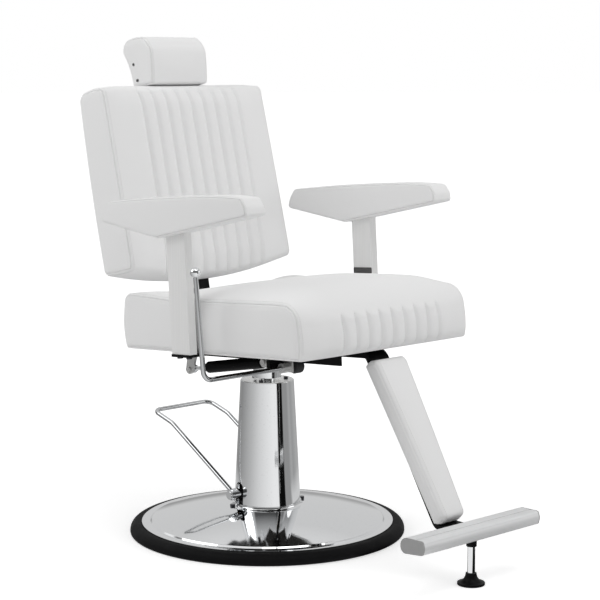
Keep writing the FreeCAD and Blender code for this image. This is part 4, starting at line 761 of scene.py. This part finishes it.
def stitch_tree(material):
    """Geometry nodes that set stitches along the lines of a mesh."""
    tree = bpy.data.node_groups.new("Stitches", "GeometryNodeTree")
    face = tree.interface
    face.new_socket("Geometry", in_out="INPUT", socket_type="NodeSocketGeometry")
    for label, value in (("Pitch", 0.0048), ("Length", 0.0034), ("Width", 0.0008)):
        socket = face.new_socket(label, in_out="INPUT", socket_type="NodeSocketFloat")
        socket.default_value = value
        socket.subtype = "DISTANCE"
    face.new_socket("Geometry", in_out="OUTPUT", socket_type="NodeSocketGeometry")
    start, end = add(tree, "NodeGroupInput").outputs, add(tree, "NodeGroupOutput")
    curve = add(tree, "GeometryNodeMeshToCurve", {"Mesh": start["Geometry"]})
    even = add(tree, "GeometryNodeResampleCurve",
               {"Curve": curve.outputs["Curve"], "Length": start["Pitch"]}, mode="LENGTH")
    ball = add(tree, "GeometryNodeMeshIcoSphere", {"Radius": 0.5, "Subdivisions": 1})
    size = add(tree, "ShaderNodeCombineXYZ",
               {"X": start["Width"], "Y": start["Width"], "Z": start["Length"]})
    stitch = add(tree, "GeometryNodeTransform",
                 {"Geometry": ball.outputs["Mesh"], "Scale": size.outputs[0]})
    smooth = add(tree, "GeometryNodeSetShadeSmooth", {"Geometry": stitch.outputs["Geometry"]})
    tangent = add(tree, "GeometryNodeInputTangent")
    turn = add(tree, "FunctionNodeAlignRotationToVector", {"Vector": tangent.outputs[0]},
               axis="Z")
    laid = add(tree, "GeometryNodeInstanceOnPoints",
               {"Points": even.outputs["Curve"], "Instance": smooth.outputs["Geometry"],
                "Rotation": turn.outputs["Rotation"]})
    real = add(tree, "GeometryNodeRealizeInstances", {"Geometry": laid.outputs["Instances"]})
    dress = add(tree, "GeometryNodeSetMaterial",
                {"Geometry": real.outputs["Geometry"], "Material": material})
    feed(tree, end, {"Geometry": dress.outputs["Geometry"]})
    return tree


def through_nodes(name, mesh, tree, values, body):
    """A plain mesh from a mesh and a geometry nodes tree, on a body."""
    piece = in_scene(name, mesh)
    modifier = piece.modifiers.new(tree.name, "NODES")
    modifier.node_group = tree
    for item in tree.interface.items_tree:
        if item.item_type == "SOCKET" and item.in_out == "INPUT" and item.name in values:
            modifier[item.identifier] = values[item.name]
    made = plain_mesh(piece)
    piece.modifiers.clear()
    piece.data = made
    made.name = name
    if not made.polygons:
        raise RuntimeError(name + " came out empty")
    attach(piece, body)


def sew(name, piece, lines, body, lift=0.0003):
    """Stitches along rows of a cushion's vertices."""
    settings = bpy.context.scene.chair_upholstery
    points, edges = [], []
    for line in lines:
        first = len(points)
        for vertex in (piece.data.vertices[index] for index in line):
            points.append(vertex.co + vertex.normal * lift)
        edges += [(first + i, first + i + 1) for i in range(len(line) - 1)]
    mesh = bpy.data.meshes.new(name)
    mesh.from_pydata(points, edges, [])
    tree = bpy.data.node_groups.get("Stitches") or stitch_tree(bpy.data.materials["thread"])
    through_nodes(name, mesh, tree, {"Pitch": settings.stitch_pitch,
                                     "Length": settings.stitch_length,
                                     "Width": settings.thread_width}, body)


def upholster(piece, body, nodes):
    """Gives a finished cushion its vinyl, its body and the solids that it stands for."""
    piece.data.materials.append(bpy.data.materials["white_vinyl"])
    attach(piece, body)
    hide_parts(*nodes)


# Cushions


def crowned(loop, across, settings):
    """Seat outline (y, z) with the soft rise of its top and the puff of its front panel."""
    dip_depth, corner_rise = 0.006, 0.009
    front_rise, rear_fall, rear_part = (-0.376, -0.29), (-0.15, 0.185), (0.0, 0.17)
    middle_part, side_part = (0.50, 0.78), (0.54, 0.92)
    top, panel_foot, panel_face = (0.070, 0.108), (-0.012, 0.016), (0.300, 0.374)
    y, z = loop[:, 0].copy(), loop[:, 1].copy()
    side, rearward = abs(across), smooth_step(y, *rear_part)
    rise = settings.seat_crown * (1.0 - min(1.0, side) ** 5) * smooth_step(y, *front_rise)
    rise *= 1.0 - smooth_step(y, *rear_fall)
    dip = dip_depth * (1.0 - smooth_step(side, *middle_part)) * rearward
    corner = corner_rise * smooth_step(side, *side_part) * rearward
    loop[:, 1] += (rise - dip + corner) * smooth_step(z, *top)
    puff = settings.front_puff * (1.0 - min(1.0, side) ** 4) * smooth_step(z, *panel_foot)
    loop[:, 0] -= puff * smooth_step(-y, *panel_face)
    return loop


class CHAIR_OT_seat(bpy.types.Operator):
    """Seat cushion with a crowned top, a rolled front and sewn channels"""
    bl_idname = "chair.seat"
    bl_label = "Seat Cushion"

    def execute(self, context):
        settings = context.scene.chair_upholstery
        front, rear, height, drop = -0.378, 0.195, 0.115, 0.004
        half, edge, lip, recess = 0.259, 0.009, 0.0102, 0.0123
        ahead, facing = (0.335, 0.372), (0.40, 0.85)
        channel_foot, channel_top, roll = (-drop - 0.004, 0.003), (0.072, 0.092), (0.340, 0.375)
        counts = (58, 20, 58, 20)
        corners = [(front, -drop), (rear, -0.002), (rear, height), (front, height)]
        cuts = slices(channel_ticks(settings, half - edge), half, edge, settings.seam_depth)
        rows, painted_shades = [], []
        for x, inset, sunk in cuts:
            swell = swell_at(x, half, FLAT_HALF, 0.25)
            loop = cushion_loop(corners, (0.006, 0.008, 0.024, 0.047),
                                (0.0, 0.004 + 0.004 * swell, 0.0, 0.003), counts, inset)
            loop = crowned(loop, x / half, settings)
            away = outward(loop)
            lift, depth = channel_relief(settings, x)
            reach = smooth_step(-loop[:, 0], *ahead) * smooth_step(-away[:, 0], *facing)
            reach *= smooth_step(loop[:, 1], *channel_foot)
            reach *= 1.0 - smooth_step(loop[:, 1], *channel_top)
            loop = loop + away * (lift * reach)[:, None]
            under = (away[:, 1] < -0.9) & (loop[:, 0] > front + lip) & (loop[:, 0] < rear - lip)
            if abs(x) < half - lip:
                loop[under, 1] = recess
            rows.append(slice_row(x, loop))
            # Painted shade in the sewn lines and the seam grooves, and where the front panel rolls
            # over towards the side seams
            rolled = rolled_shade(x, half) * smooth_step(-loop[:, 0], *roll)
            painted_shades.append(np.maximum(np.maximum(depth * reach, sunk), rolled))
        piece = surface("seat_upholstery", rows, painted_shades, counts, 0.006, in_seat)
        under = [v.co.copy() for v in piece.data.vertices if v.normal.z < -0.8]
        swell_like_cloth(piece, seam_points(piece, rows) + under[::3], settings)
        upholster(piece, "seat", ("seat_cushion",))
        lines = channel_lines(settings, cuts, rows, -1.0,
                              lambda y, z: y < front + 0.014 and 0.002 < z < 0.086)
        sew("seat_stitches", piece, lines + side_lines(rows, lambda y, z: z > 0.012), "seat")
        return {"FINISHED"}


class CHAIR_OT_back(bpy.types.Operator):
    """Back cushion with sewn channels, and the padded panel behind it"""
    bl_idname = "chair.back"
    bl_label = "Back Cushion"

    def execute(self, context):
        settings = context.scene.chair_upholstery
        half, edge, height, thick = 0.2450, 0.009, 0.4590, 0.0935
        side_rise, side_drop, foot_width = 0.0285, 0.0035, 0.24
        facing, channel_top, roll = (0.35, 0.9), (0.003, 0.016), (-0.020, 0.0)
        counts = (14, 54, 14, 54)
        cuts = slices(channel_ticks(settings, half - edge), half, edge, settings.seam_depth)
        rows, painted_shades = [], []
        for x, inset, sunk in cuts:
            swell = swell_at(x, half, FLAT_HALF, 0.25)
            low = 0.002 + side_rise * (x / foot_width) ** 2
            top = height - side_drop * smooth_step(abs(x), 0.19, half)
            loop = cushion_loop([(-0.017, low), (thick, low), (thick + 0.002, top), (-0.002, top)],
                                (0.014, 0.014, 0.022, 0.018),
                                (0.002 * swell, 0.004, 0.004 * swell, 0.001), counts, inset,
                                least=0.003)
            up = loop[:, 1]
            puff = settings.back_puff * (1.0 - (abs(x) / half) ** 4) * (0.45 + 0.55 * up / height)
            puff *= smooth_step(up, low - 0.01, low + 0.055)
            puff *= smooth_step(height - up, -0.01, 0.05)
            loop[:, 0] -= puff * (1.0 - smooth_step(loop[:, 0], 0.0, 0.030))
            away = outward(loop)
            lift, depth = channel_relief(settings, x)
            reach = smooth_step(-away[:, 0], *facing)
            reach *= smooth_step(height - loop[:, 1], *channel_top)
            loop = loop + away * (lift * reach)[:, None]
            rows.append(slice_row(x * (1.012 - 0.014 * loop[:, 1] / height), loop))
            # Painted shade in the sewn lines and the seam grooves, and where the front panel rolls
            # over towards the side seams
            rolled = rolled_shade(x, half) * smooth_step(-loop[:, 0], *roll)
            painted_shades.append(np.maximum(np.maximum(depth * reach, sunk), rolled))
        piece = surface("back_upholstery", rows, painted_shades, counts, 0.0025, in_back)
        behind = [v.co.copy() for v in piece.data.vertices if v.normal.y > 0.8]
        swell_like_cloth(piece, seam_points(piece, rows) + behind[::3], settings)
        upholster(piece, "back", ("back_cushion",))
        lines = channel_lines(settings, cuts, rows, 1.0,
                              lambda depth, up: depth < 0.012 and 0.012 < up < height - 0.010)
        lines += side_lines(rows, lambda depth, up: depth < thick - 0.012)
        sew("back_stitches", piece, lines, "back")
        self.rear_panel()
        return {"FINISHED"}

    def rear_panel(self):
        """The plain padded panel that closes the back behind."""
        half, edge = 0.226, 0.008
        low, high, front, rear = 0.036, 0.439, 0.085, 0.0985
        counts = (8, 44, 8, 44)
        rim = [(half - edge + edge * math.sin(t), edge * (1.0 - math.cos(t)))
               for t in np.radians((20, 40, 60, 75, 90))]
        cuts = [(-x, inset) for x, inset in rim[::-1]]
        cuts += [(x, 0.0) for x in spread(-(half - edge), half - edge, 0.011)] + rim
        rows = []
        for x, inset in cuts:
            bottom, top, face = low + inset, high - inset, rear - inset * 0.55
            loop = cushion_loop([(front, bottom), (face, bottom), (face, top), (front, top)],
                                (0.001, 0.0045, 0.0045, 0.001),
                                (0.0, 0.003 * swell_at(x, half, 0.0, 0.0), 0.0, 0.0), counts,
                                0.0, least=0.0)
            rows.append(slice_row(x, loop))
        piece = surface("back_rear_upholstery", rows, np.zeros(np.shape(rows)[:2]), counts, 0.0,
                        in_back)
        upholster(piece, "back", ("back_rear_panel",))


class CHAIR_OT_headrest(bpy.types.Operator):
    """Headrest pillow with soft ends"""
    bl_idname = "chair.headrest"
    bl_label = "Headrest"

    def execute(self, context):
        settings = context.scene.chair_upholstery
        half, edge = 0.0858, 0.008
        corners = [(0.0115, 0.4635), (0.0850, 0.4665), (0.1085, 0.563), (0.0895, 0.5835),
                   (0.0240, 0.5785), (-0.0015, 0.545)]
        counts = (18, 26, 18, 26)
        ticks = spread(-(half - edge), half - edge, 0.007)
        rows, painted_shades = [], []
        for x, inset, sunk in slices(ticks, half, edge, settings.seam_depth):
            swell = swell_at(x, half, 0.0, 0.3)
            loop = cushion_loop(corners, (0.007, 0.008, 0.017, 0.024, 0.030, 0.034),
                                (0.001, -0.0045, 0.002, 0.003 * swell, 0.001, 0.002 * swell),
                                counts, inset * 0.8, 0.625, 0.003, (0, 1, 3, 4))
            rows.append(slice_row(x, loop))
            # Painted shade in the seam grooves
            painted_shades.append(np.full(len(loop), sunk))
        piece = surface("headrest_upholstery", rows, painted_shades, counts, 0.003, in_back)
        swell_like_cloth(piece, seam_points(piece, rows), settings)
        upholster(piece, "headrest", ("headrest_pad",))
        sew("headrest_stitches", piece, side_lines(rows, lambda depth, up: True), "headrest")
        return {"FINISHED"}


class CHAIR_OT_armrests(bpy.types.Operator):
    """Two wedge-shaped arm pads with a sewn panel on each side"""
    bl_idname = "chair.armrests"
    bl_label = "Armrests"

    def execute(self, context):
        settings = context.scene.chair_upholstery
        inner, half, edge = 0.258, 0.0295, 0.006
        corners = [(-0.005, 0.2528), (0.189, 0.2895), (0.163, 0.334), (-0.136, 0.342),
                   (-0.287, 0.3365), (-0.302, 0.2975)]
        counts = (28, 34, 28, 34)
        ticks = spread(-(half - edge), half - edge, 0.0052)
        rows, painted_shades = [], []
        for x, inset, sunk in slices(ticks, half, edge, settings.seam_depth * 0.8):
            bulge = 0.0028 * swell_at(x, half, 0.0, 0.4)
            loop = cushion_loop(corners, (0.003, 0.008, 0.016, 0.012, 0.016, 0.008),
                                (0.0, bulge, bulge, bulge, bulge, 0.0), counts, inset, 0.6,
                                0.0015, (5, 0, 2, 3))
            rows.append(slice_row(x, loop))
            # Painted shade in the seam grooves
            painted_shades.append(np.full(len(loop), sunk))
        lines = side_lines(rows, lambda y, z: z > 0.264 + abs(y + 0.005) * 0.175)
        for side, sign in SIDES:
            placed = np.array(rows) + (sign * (inner + half), 0.0, 0.0)
            piece = surface("armrest_upholstery_" + side, placed, painted_shades, counts, 0.0012, in_seat)
            upholster(piece, "seat", ("armrest_pad_" + side,))
            sew("armrest_stitches_" + side, piece, lines, "seat")
        return {"FINISHED"}


class CHAIR_OT_calf_pad(bpy.types.Operator):
    """Tapered calf pad of the leg rest"""
    bl_idname = "chair.calf_pad"
    bl_label = "Calf Pad"

    def execute(self, context):
        settings = context.scene.chair_upholstery
        long = math.dist(CALF_TOP, CALF_BOTTOM)
        end, low, thick, edge = long + 0.010, -0.0075, 0.034, 0.013
        top_half, end_half, lip, end_lip, recess = 0.0495, 0.0355, 0.0102, 0.0232, 0.0093
        counts = (46, 10, 46, 10)
        rows, painted_shades = [], []
        for reach, inset, sunk in slices(np.linspace(-1.0, 1.0, 17), 1.0 + edge, edge,
                                         settings.seam_depth * 0.3):
            part = max(-1.0, min(1.0, reach))       # share of the half width inside the edge
            swell = swell_at(part, 1.0, 0.0, 0.3)
            loop = cushion_loop([(0.0, low), (end, low), (end, thick), (0.0, thick)],
                                (0.004, 0.004, 0.011, 0.015),
                                (0.0, 0.003, 0.0035 * swell, 0.003), counts, inset, 0.6)
            along = loop[:, 0]
            width = top_half + (end_half - top_half) * along / long
            x = part * (width - edge) + reach - part
            under = (outward(loop)[:, 1] < -0.9) & (along > end_lip) & (along < long - end_lip)
            loop[under & (np.abs(x) < width - lip), 1] = recess
            rows.append(slice_row(x, loop))
            # Painted shade in the seam grooves
            painted_shades.append(np.full(len(loop), sunk))
        piece = surface("calf_pad_upholstery", rows, painted_shades, counts, 0.0015, on_calf)
        upholster(piece, "seat", ("calf_pad",))
        sew("calf_pad_stitches", piece, side_lines(rows, lambda along, out: out > 0.006), "seat")
        return {"FINISHED"}


def stacked(name, rings, place, body, finish):
    """A closed hard piece through rings of points (x, a, b), on a body."""
    rings = np.asarray(rings, float)
    total, around = rings.shape[:2]
    faces = band_faces(total, around)
    faces += [tuple(range(around))[::-1], tuple((total - 1) * around + m for m in range(around))]
    piece = closed_piece(name, place(rings.reshape(-1, 3)), faces, 35.0)
    piece.data.materials.append(bpy.data.materials[finish])
    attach(piece, body)


class CHAIR_OT_trim(bpy.types.Operator):
    """Rubber pads on the arm posts, and the press studs that close the headrest's cover"""
    bl_idname = "chair.trim"
    bl_label = "Pads and Studs"

    def execute(self, context):
        for side, sign in SIDES:
            self.post_pad(side, sign)
            self.stud("headrest_stud_upper_" + side, sign, 0.0672, 0.5205)
            self.stud("headrest_stud_lower_" + side, sign, 0.0620, 0.4815)
        return {"FINISHED"}

    def post_pad(self, side, sign):
        """A ribbed rubber pad on a post's inner face, level with the top of the seat."""
        face, front, rear, low, high = 0.2762, -0.0755, -0.0165, 0.1305, 0.1445
        corners = [(front, low), (rear, low), (rear, high), (front, high)]
        rings = []
        for out, inset in ((0.0, 0.0), (0.0010, 0.0), (0.0017, 0.0004), (0.0020, 0.0011),
                           (0.0020, 0.0026), (0.0012, 0.0031), (0.0012, 0.0044), (0.0020, 0.0049)):
            points, _ = dense_outline(inset_corners(corners, inset),
                                      [max(0.002 - inset, 0.0005)] * 4, [0.0] * 4)
            rings.append(slice_row(sign * (face - out), points))
        stacked("post_pad_" + side, rings, in_seat, "seat", "post_pad")

    def stud(self, name, sign, depth, height):
        """A small domed stud on one end of the headrest."""
        end, points = 0.0885, 24
        turn = np.linspace(0.0, 2.0 * math.pi, points + 1)[:-1]
        circle = np.stack([np.cos(turn), np.sin(turn)], -1)
        rings = [slice_row(sign * (end + out), (depth, height) + radius * circle)
                 for out, radius in ((-0.0010, 0.0034), (0.0012, 0.0034), (0.0018, 0.0031),
                                     (0.0018, 0.0024), (0.0014, 0.0021), (0.0022, 0.0012),
                                     (0.0024, 0.0003))]
        stacked(name, rings, in_back, "headrest", "post_pad")


class CHAIR_OT_finishes(bpy.types.Operator):
    """Materials of every piece, and the finish of each solid of the frame"""
    bl_idname = "chair.finishes"
    bl_label = "Finishes"

    def execute(self, context):
        tones = context.scene.chair_colours
        groups = {"vinyl": leather_group(), "marks": marks_group(), "brushed": brushed_group(),
                  "moulded": moulded_group(), "plies": plies_group()}
        made = {"white_vinyl": vinyl_material(groups, tones.vinyl),
                "thread": thread_material(groups, tones.thread)}
        # The rods' chrome is a darker copy of the chrome: painted dark reflection
        for name, rgb in (("chrome", tones.chrome), ("chrome_wire", tones.wire)):
            made[name] = chrome_material(groups, name, rgb)
        for name, rgb, along, rough, metallic in (
                ("satin_steel", tones.steel, (1.0, 1.0, 0.012), 0.34, 0.6),
                ("satin_cap", (0.90, 0.90, 0.89), (1.0, 0.02, 1.0), 0.16, 1.0),
                ("satin_post", tones.post, (1.0, 1.0, 0.012), 0.42, 0.0),
                ("aluminium", tones.aluminium, (0.012, 1.0, 1.0), 0.34, 0.18)):
            made[name] = brushed_material(groups, name, rgb, along, rough, metallic)
        for name, rgb, rough, depth, more in (
                ("black_coating", tones.coating, 0.42, 0.0003, {"specular": 0.10}),
                ("gloss_black", (0.004, 0.004, 0.0045), 0.30, 0.00003, {"specular": 0.06}),
                ("dark_steel", (0.10, 0.10, 0.11), 0.30, 0.00008, {"metallic": 1.0}),
                ("cast_iron", (0.035, 0.035, 0.037), 0.62, 0.0009, {"fineness": 0.6}),
                ("bronze", (0.50, 0.30, 0.12), 0.32, 0.00008, {"metallic": 1.0}),
                ("rubber", tones.rubber, 0.62, 0.0003, {"specular": 0.12, "fineness": 1.6}),
                ("black_plastic", tones.plastic, 0.40, 0.0002, {"specular": 0.08}),
                ("post_pad", (0.10, 0.10, 0.10), 0.6, 0.0004, {"specular": 0.2}),
                ("end_cap", tones.end_cap, 0.42, 0.0002, {})):
            made[name] = skin_material(groups, name, rgb, rough, depth, **more)
        for name, rgb in (("plywood", tones.plywood), ("stained_plywood", tones.stained)):
            made[name] = plywood_material(groups, name, rgb)
        for finish, names in FINISHES.items():
            for name in names:
                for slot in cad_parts[name].material_slots:
                    slot.material = made[finish]
        return {"FINISHED"}


# Stage


# What polished metal sees round the chair, as tones at angles about the column in degrees
LOW_TONES = ((0.0, 0.42), (47.0, 0.36), (99.0, 0.25), (130.0, 0.35), (167.0, 0.50),
             (198.0, 0.68), (227.0, 0.80), (250.0, 0.88), (266.6, 0.88), (267.8, 0.004),
             (289.6, 0.004), (290.8, 0.29), (312.0, 0.29), (324.0, 0.40), (336.0, 0.33),
             (360.0, 0.42))
HIGH_TONES = ((0.0, 0.62), (96.0, 0.62), (100.0, 0.90), (108.0, 0.90), (112.0, 0.16),
              (148.0, 0.16), (158.0, 0.50), (172.0, 0.50), (180.0, 0.08), (258.0, 0.08),
              (267.8, 0.004), (289.6, 0.004), (295.0, 0.26), (326.0, 0.30), (340.0, 0.55),
              (360.0, 0.62))
CEILING_TONE = 0.82
NEAR_FLOOR_TONE = 0.62
AWAY = math.radians(46.1)        # the way from the photographer to the column
CAMERA_PLACE = (-2.7728, -2.9902, 1.0736)
CAMERA_REACH = 4.078             # how far that place is from the chair's axis


def angle_tones(group, share, table):
    """Tones of a table by the share of a full turn."""
    ramp = add(group, "ShaderNodeValToRGB", {"Fac": share})
    stops = ramp.color_ramp.elements
    stops.remove(stops[1])
    for i, (degrees, tone) in enumerate(table):
        stop = stops[0] if i == 0 else stops.new(degrees / 360.0)
        stop.position = degrees / 360.0
        stop.color = (tone, tone, tone, 1.0)
    return ramp.outputs["Color"]


def mixed_values(group, factor, first, second):
    """A value between two sockets or numbers."""
    return add(group, "ShaderNodeMix", {"Factor": factor, "A": first, "B": second},
               data_type="FLOAT").outputs["Result"]


def tones_group():
    """Bands of grey round the column that stand for the walls of the studio."""
    group, start, end = node_group("Studio Walls", {}, ("Tone",))
    full = 2.0 * math.pi
    split = add(group, "ShaderNodeSeparateXYZ", {0: start["Vector"]}).outputs
    turn = maths(group, "WRAP", maths(group, "ARCTAN2", split["Y"], split["X"]), full, 0.0)
    share = mapped(group, turn, 0.0, 1.0, 0.0, full)
    low, high = (angle_tones(group, share, table) for table in (LOW_TONES, HIGH_TONES))
    way = vector_maths(group, "NORMALIZE", start["Vector"])[0]
    climb = add(group, "ShaderNodeSeparateXYZ", {0: way}).outputs["Z"]
    walls = mixed_values(group, mapped(group, climb, 0.0, 1.0, 0.0, 0.10), low, high)
    above = mapped(group, climb, 0.0, 1.0, 0.55, 0.85)
    feed(group, end, {"Tone": mixed_values(group, above, walls, CEILING_TONE)})
    return group


def seen_by(tree, plain, camera, polished):
    """Uses one shader for light, one for the camera and one for what reflections see."""
    path = add(tree, "ShaderNodeLightPath").outputs
    either = maths(tree, "MAXIMUM", path["Is Glossy Ray"], path["Is Transmission Ray"])
    shaders = plain
    for mask, other in ((either, polished), (path["Is Camera Ray"], camera)):
        shaders = add(tree, "ShaderNodeMixShader", {0: mask, 1: shaders, 2: other}).outputs[0]
    return shaders


def soft_lamp(name, place, aim, size, energy):
    lamp = bpy.data.lights.new(name, "AREA")
    lamp.shape, lamp.size, lamp.energy = "DISK", size, energy
    thing = in_scene(name, lamp)
    thing.location = place
    thing.rotation_euler = (Vector(aim) - Vector(place)).to_track_quat("-Z", "Y").to_euler()


class CHAIR_OT_stage(bpy.types.Operator):
    """Plain pale floor, soft studio light, and the camera at the photograph's angle"""
    bl_idname = "chair.stage"
    bl_label = "Stage"

    def execute(self, context):
        settings = context.scene.chair_stage
        walls = tones_group()
        self.floor(settings, walls)
        self.world(settings, walls)
        side = settings.side_power
        for name, place, aim, size, energy in (
                ("key_lamp", (0.1, -1.5, 3.8), (0.0, 0.0, 0.5), 3.2, settings.key_power),
                ("fill_lamp", (0.8, -3.4, 1.5), (0.0, 0.0, 0.5), 2.4, settings.fill_power),
                ("side_lamp_right", (-2.0, 1.4, 2.1), (0.0, 0.0, 0.6), 2.0, side),
                ("side_lamp_left", (2.8, -2.7, 1.5), (0.0, 0.0, 0.6), 2.0, side * 0.55)):
            soft_lamp(name, place, aim, size, energy)
        self.camera(settings)
        context.scene.view_settings.view_transform = "Standard"
        return {"FINISHED"}

    def floor(self, settings, walls):
        """A wide disc that shows plain and pale, and as the studio's walls in reflections."""
        mesh = bpy.data.meshes.new("floor")
        count, radius = 96, 60.0
        turns = [2.0 * math.pi * i / count for i in range(count)]
        ring = [(radius * math.cos(t), radius * math.sin(t), 0.0) for t in turns]
        mesh.from_pydata(ring, [], [tuple(range(count))])
        floor = in_scene("floor", mesh)
        material, tree, shader, place = new_material("floor", specular=0.1)
        feed(tree, shader, {"Base Color": (*settings.floor, 1.0), "Roughness": 0.9})
        reach = vector_maths(tree, "LENGTH", place)["Value"]
        glow = add(tree, "ShaderNodeEmission",
                   {"Strength": mapped(tree, reach, 0.46, 0.72, 0.5, 3.0)})
        both = add(tree, "ShaderNodeAddShader", {0: shader.outputs[0], 1: glow.outputs[0]})
        ahead = vector_maths(tree, "DOT_PRODUCT", place, (math.cos(AWAY), math.sin(AWAY), 0.0))
        beside = maths(tree, "MAXIMUM", mapped(tree, reach, 0.0, 1.0, 0.55, 0.85),
                       mapped(tree, ahead["Value"], 1.0, 0.0, -0.02, 0.05))
        tone = mixed_values(tree, beside, NEAR_FLOOR_TONE,
                            placed_group(tree, walls, place)["Tone"])
        wall = add(tree, "ShaderNodeEmission", {"Strength": tone})
        seen = seen_by(tree, shader.outputs[0], both.outputs[0], wall.outputs[0])
        feed(tree, tree.nodes["Material Output"], {"Surface": seen})
        mesh.materials.append(material)

    def world(self, settings, walls):
        world = bpy.data.worlds.new("studio")
        bpy.context.scene.world = world
        world.use_nodes = True
        tree = world.node_tree
        plain = tree.nodes["Background"]
        bright, wall = add(tree, "ShaderNodeBackground"), add(tree, "ShaderNodeBackground")
        tones = placed_group(tree, walls, add(tree, "ShaderNodeTexCoord").outputs["Generated"])
        for light, strength in ((plain, settings.ambient), (bright, 1.0), (wall, tones["Tone"])):
            feed(tree, light, {"Color": (1.0, 1.0, 1.0, 1.0), "Strength": strength})
        seen = seen_by(tree, plain.outputs[0], bright.outputs[0], wall.outputs[0])
        feed(tree, tree.nodes["World Output"], {"Surface": seen})

    def camera(self, settings):
        turn, pitch = math.radians(-43.9), math.radians(7.5)
        view = Vector((-math.sin(turn) * math.cos(pitch), math.cos(turn) * math.cos(pitch),
                       -math.sin(pitch)))
        right = Vector((math.cos(turn), math.sin(turn), 0.0))
        place = Vector(CAMERA_PLACE) * (settings.camera_distance / CAMERA_REACH)
        data = bpy.data.cameras.new("camera")
        data.sensor_width, data.lens, data.clip_end = 36.0, settings.lens, 200.0
        camera = in_scene("camera", data)
        camera.matrix_world = Matrix.Translation(place) @ Matrix(
            (right, right.cross(view), -view)).transposed().to_4x4()
        bpy.context.scene.camera = camera


class CHAIR_PT_panel(bpy.types.Panel):
    """The chair's settings and the buttons that make its pieces"""
    bl_label = "Threading Chair"
    bl_idname = "CHAIR_PT_panel"
    bl_space_type = "VIEW_3D"
    bl_region_type = "UI"
    bl_category = "Chair"

    def draw(self, context):
        layout = self.layout
        for name, cls in SETTINGS.items():
            box = layout.box()
            box.label(text=name.split("_")[1].capitalize())
            for label in cls.__annotations__:
                box.prop(getattr(context.scene, name), label)
        for operator in OPERATORS:
            layout.operator(operator.bl_idname)


SETTINGS = {"chair_upholstery": ChairUpholstery, "chair_colours": ChairColours,
            "chair_stage": ChairStage}
OPERATORS = (CHAIR_OT_finishes, CHAIR_OT_stage, CHAIR_OT_seat, CHAIR_OT_back, CHAIR_OT_headrest,
             CHAIR_OT_armrests, CHAIR_OT_calf_pad, CHAIR_OT_trim)


def register():
    for cls in (*SETTINGS.values(), *OPERATORS, CHAIR_PT_panel):
        bpy.utils.register_class(cls)
    for name, cls in SETTINGS.items():
        setattr(bpy.types.Scene, name, bpy.props.PointerProperty(type=cls))


def unregister():
    for name in SETTINGS:
        delattr(bpy.types.Scene, name)
    for cls in (CHAIR_PT_panel, *reversed(OPERATORS), *SETTINGS.values()):
        bpy.utils.unregister_class(cls)


def main():
    register()
    bpy.ops.chair.finishes()
    bpy.ops.chair.stage()
    bpy.ops.chair.seat()
    bpy.ops.chair.back()
    bpy.ops.chair.headrest()
    bpy.ops.chair.armrests()
    bpy.ops.chair.calf_pad()
    bpy.ops.chair.trim()


if __name__ == "__main__":
    main()
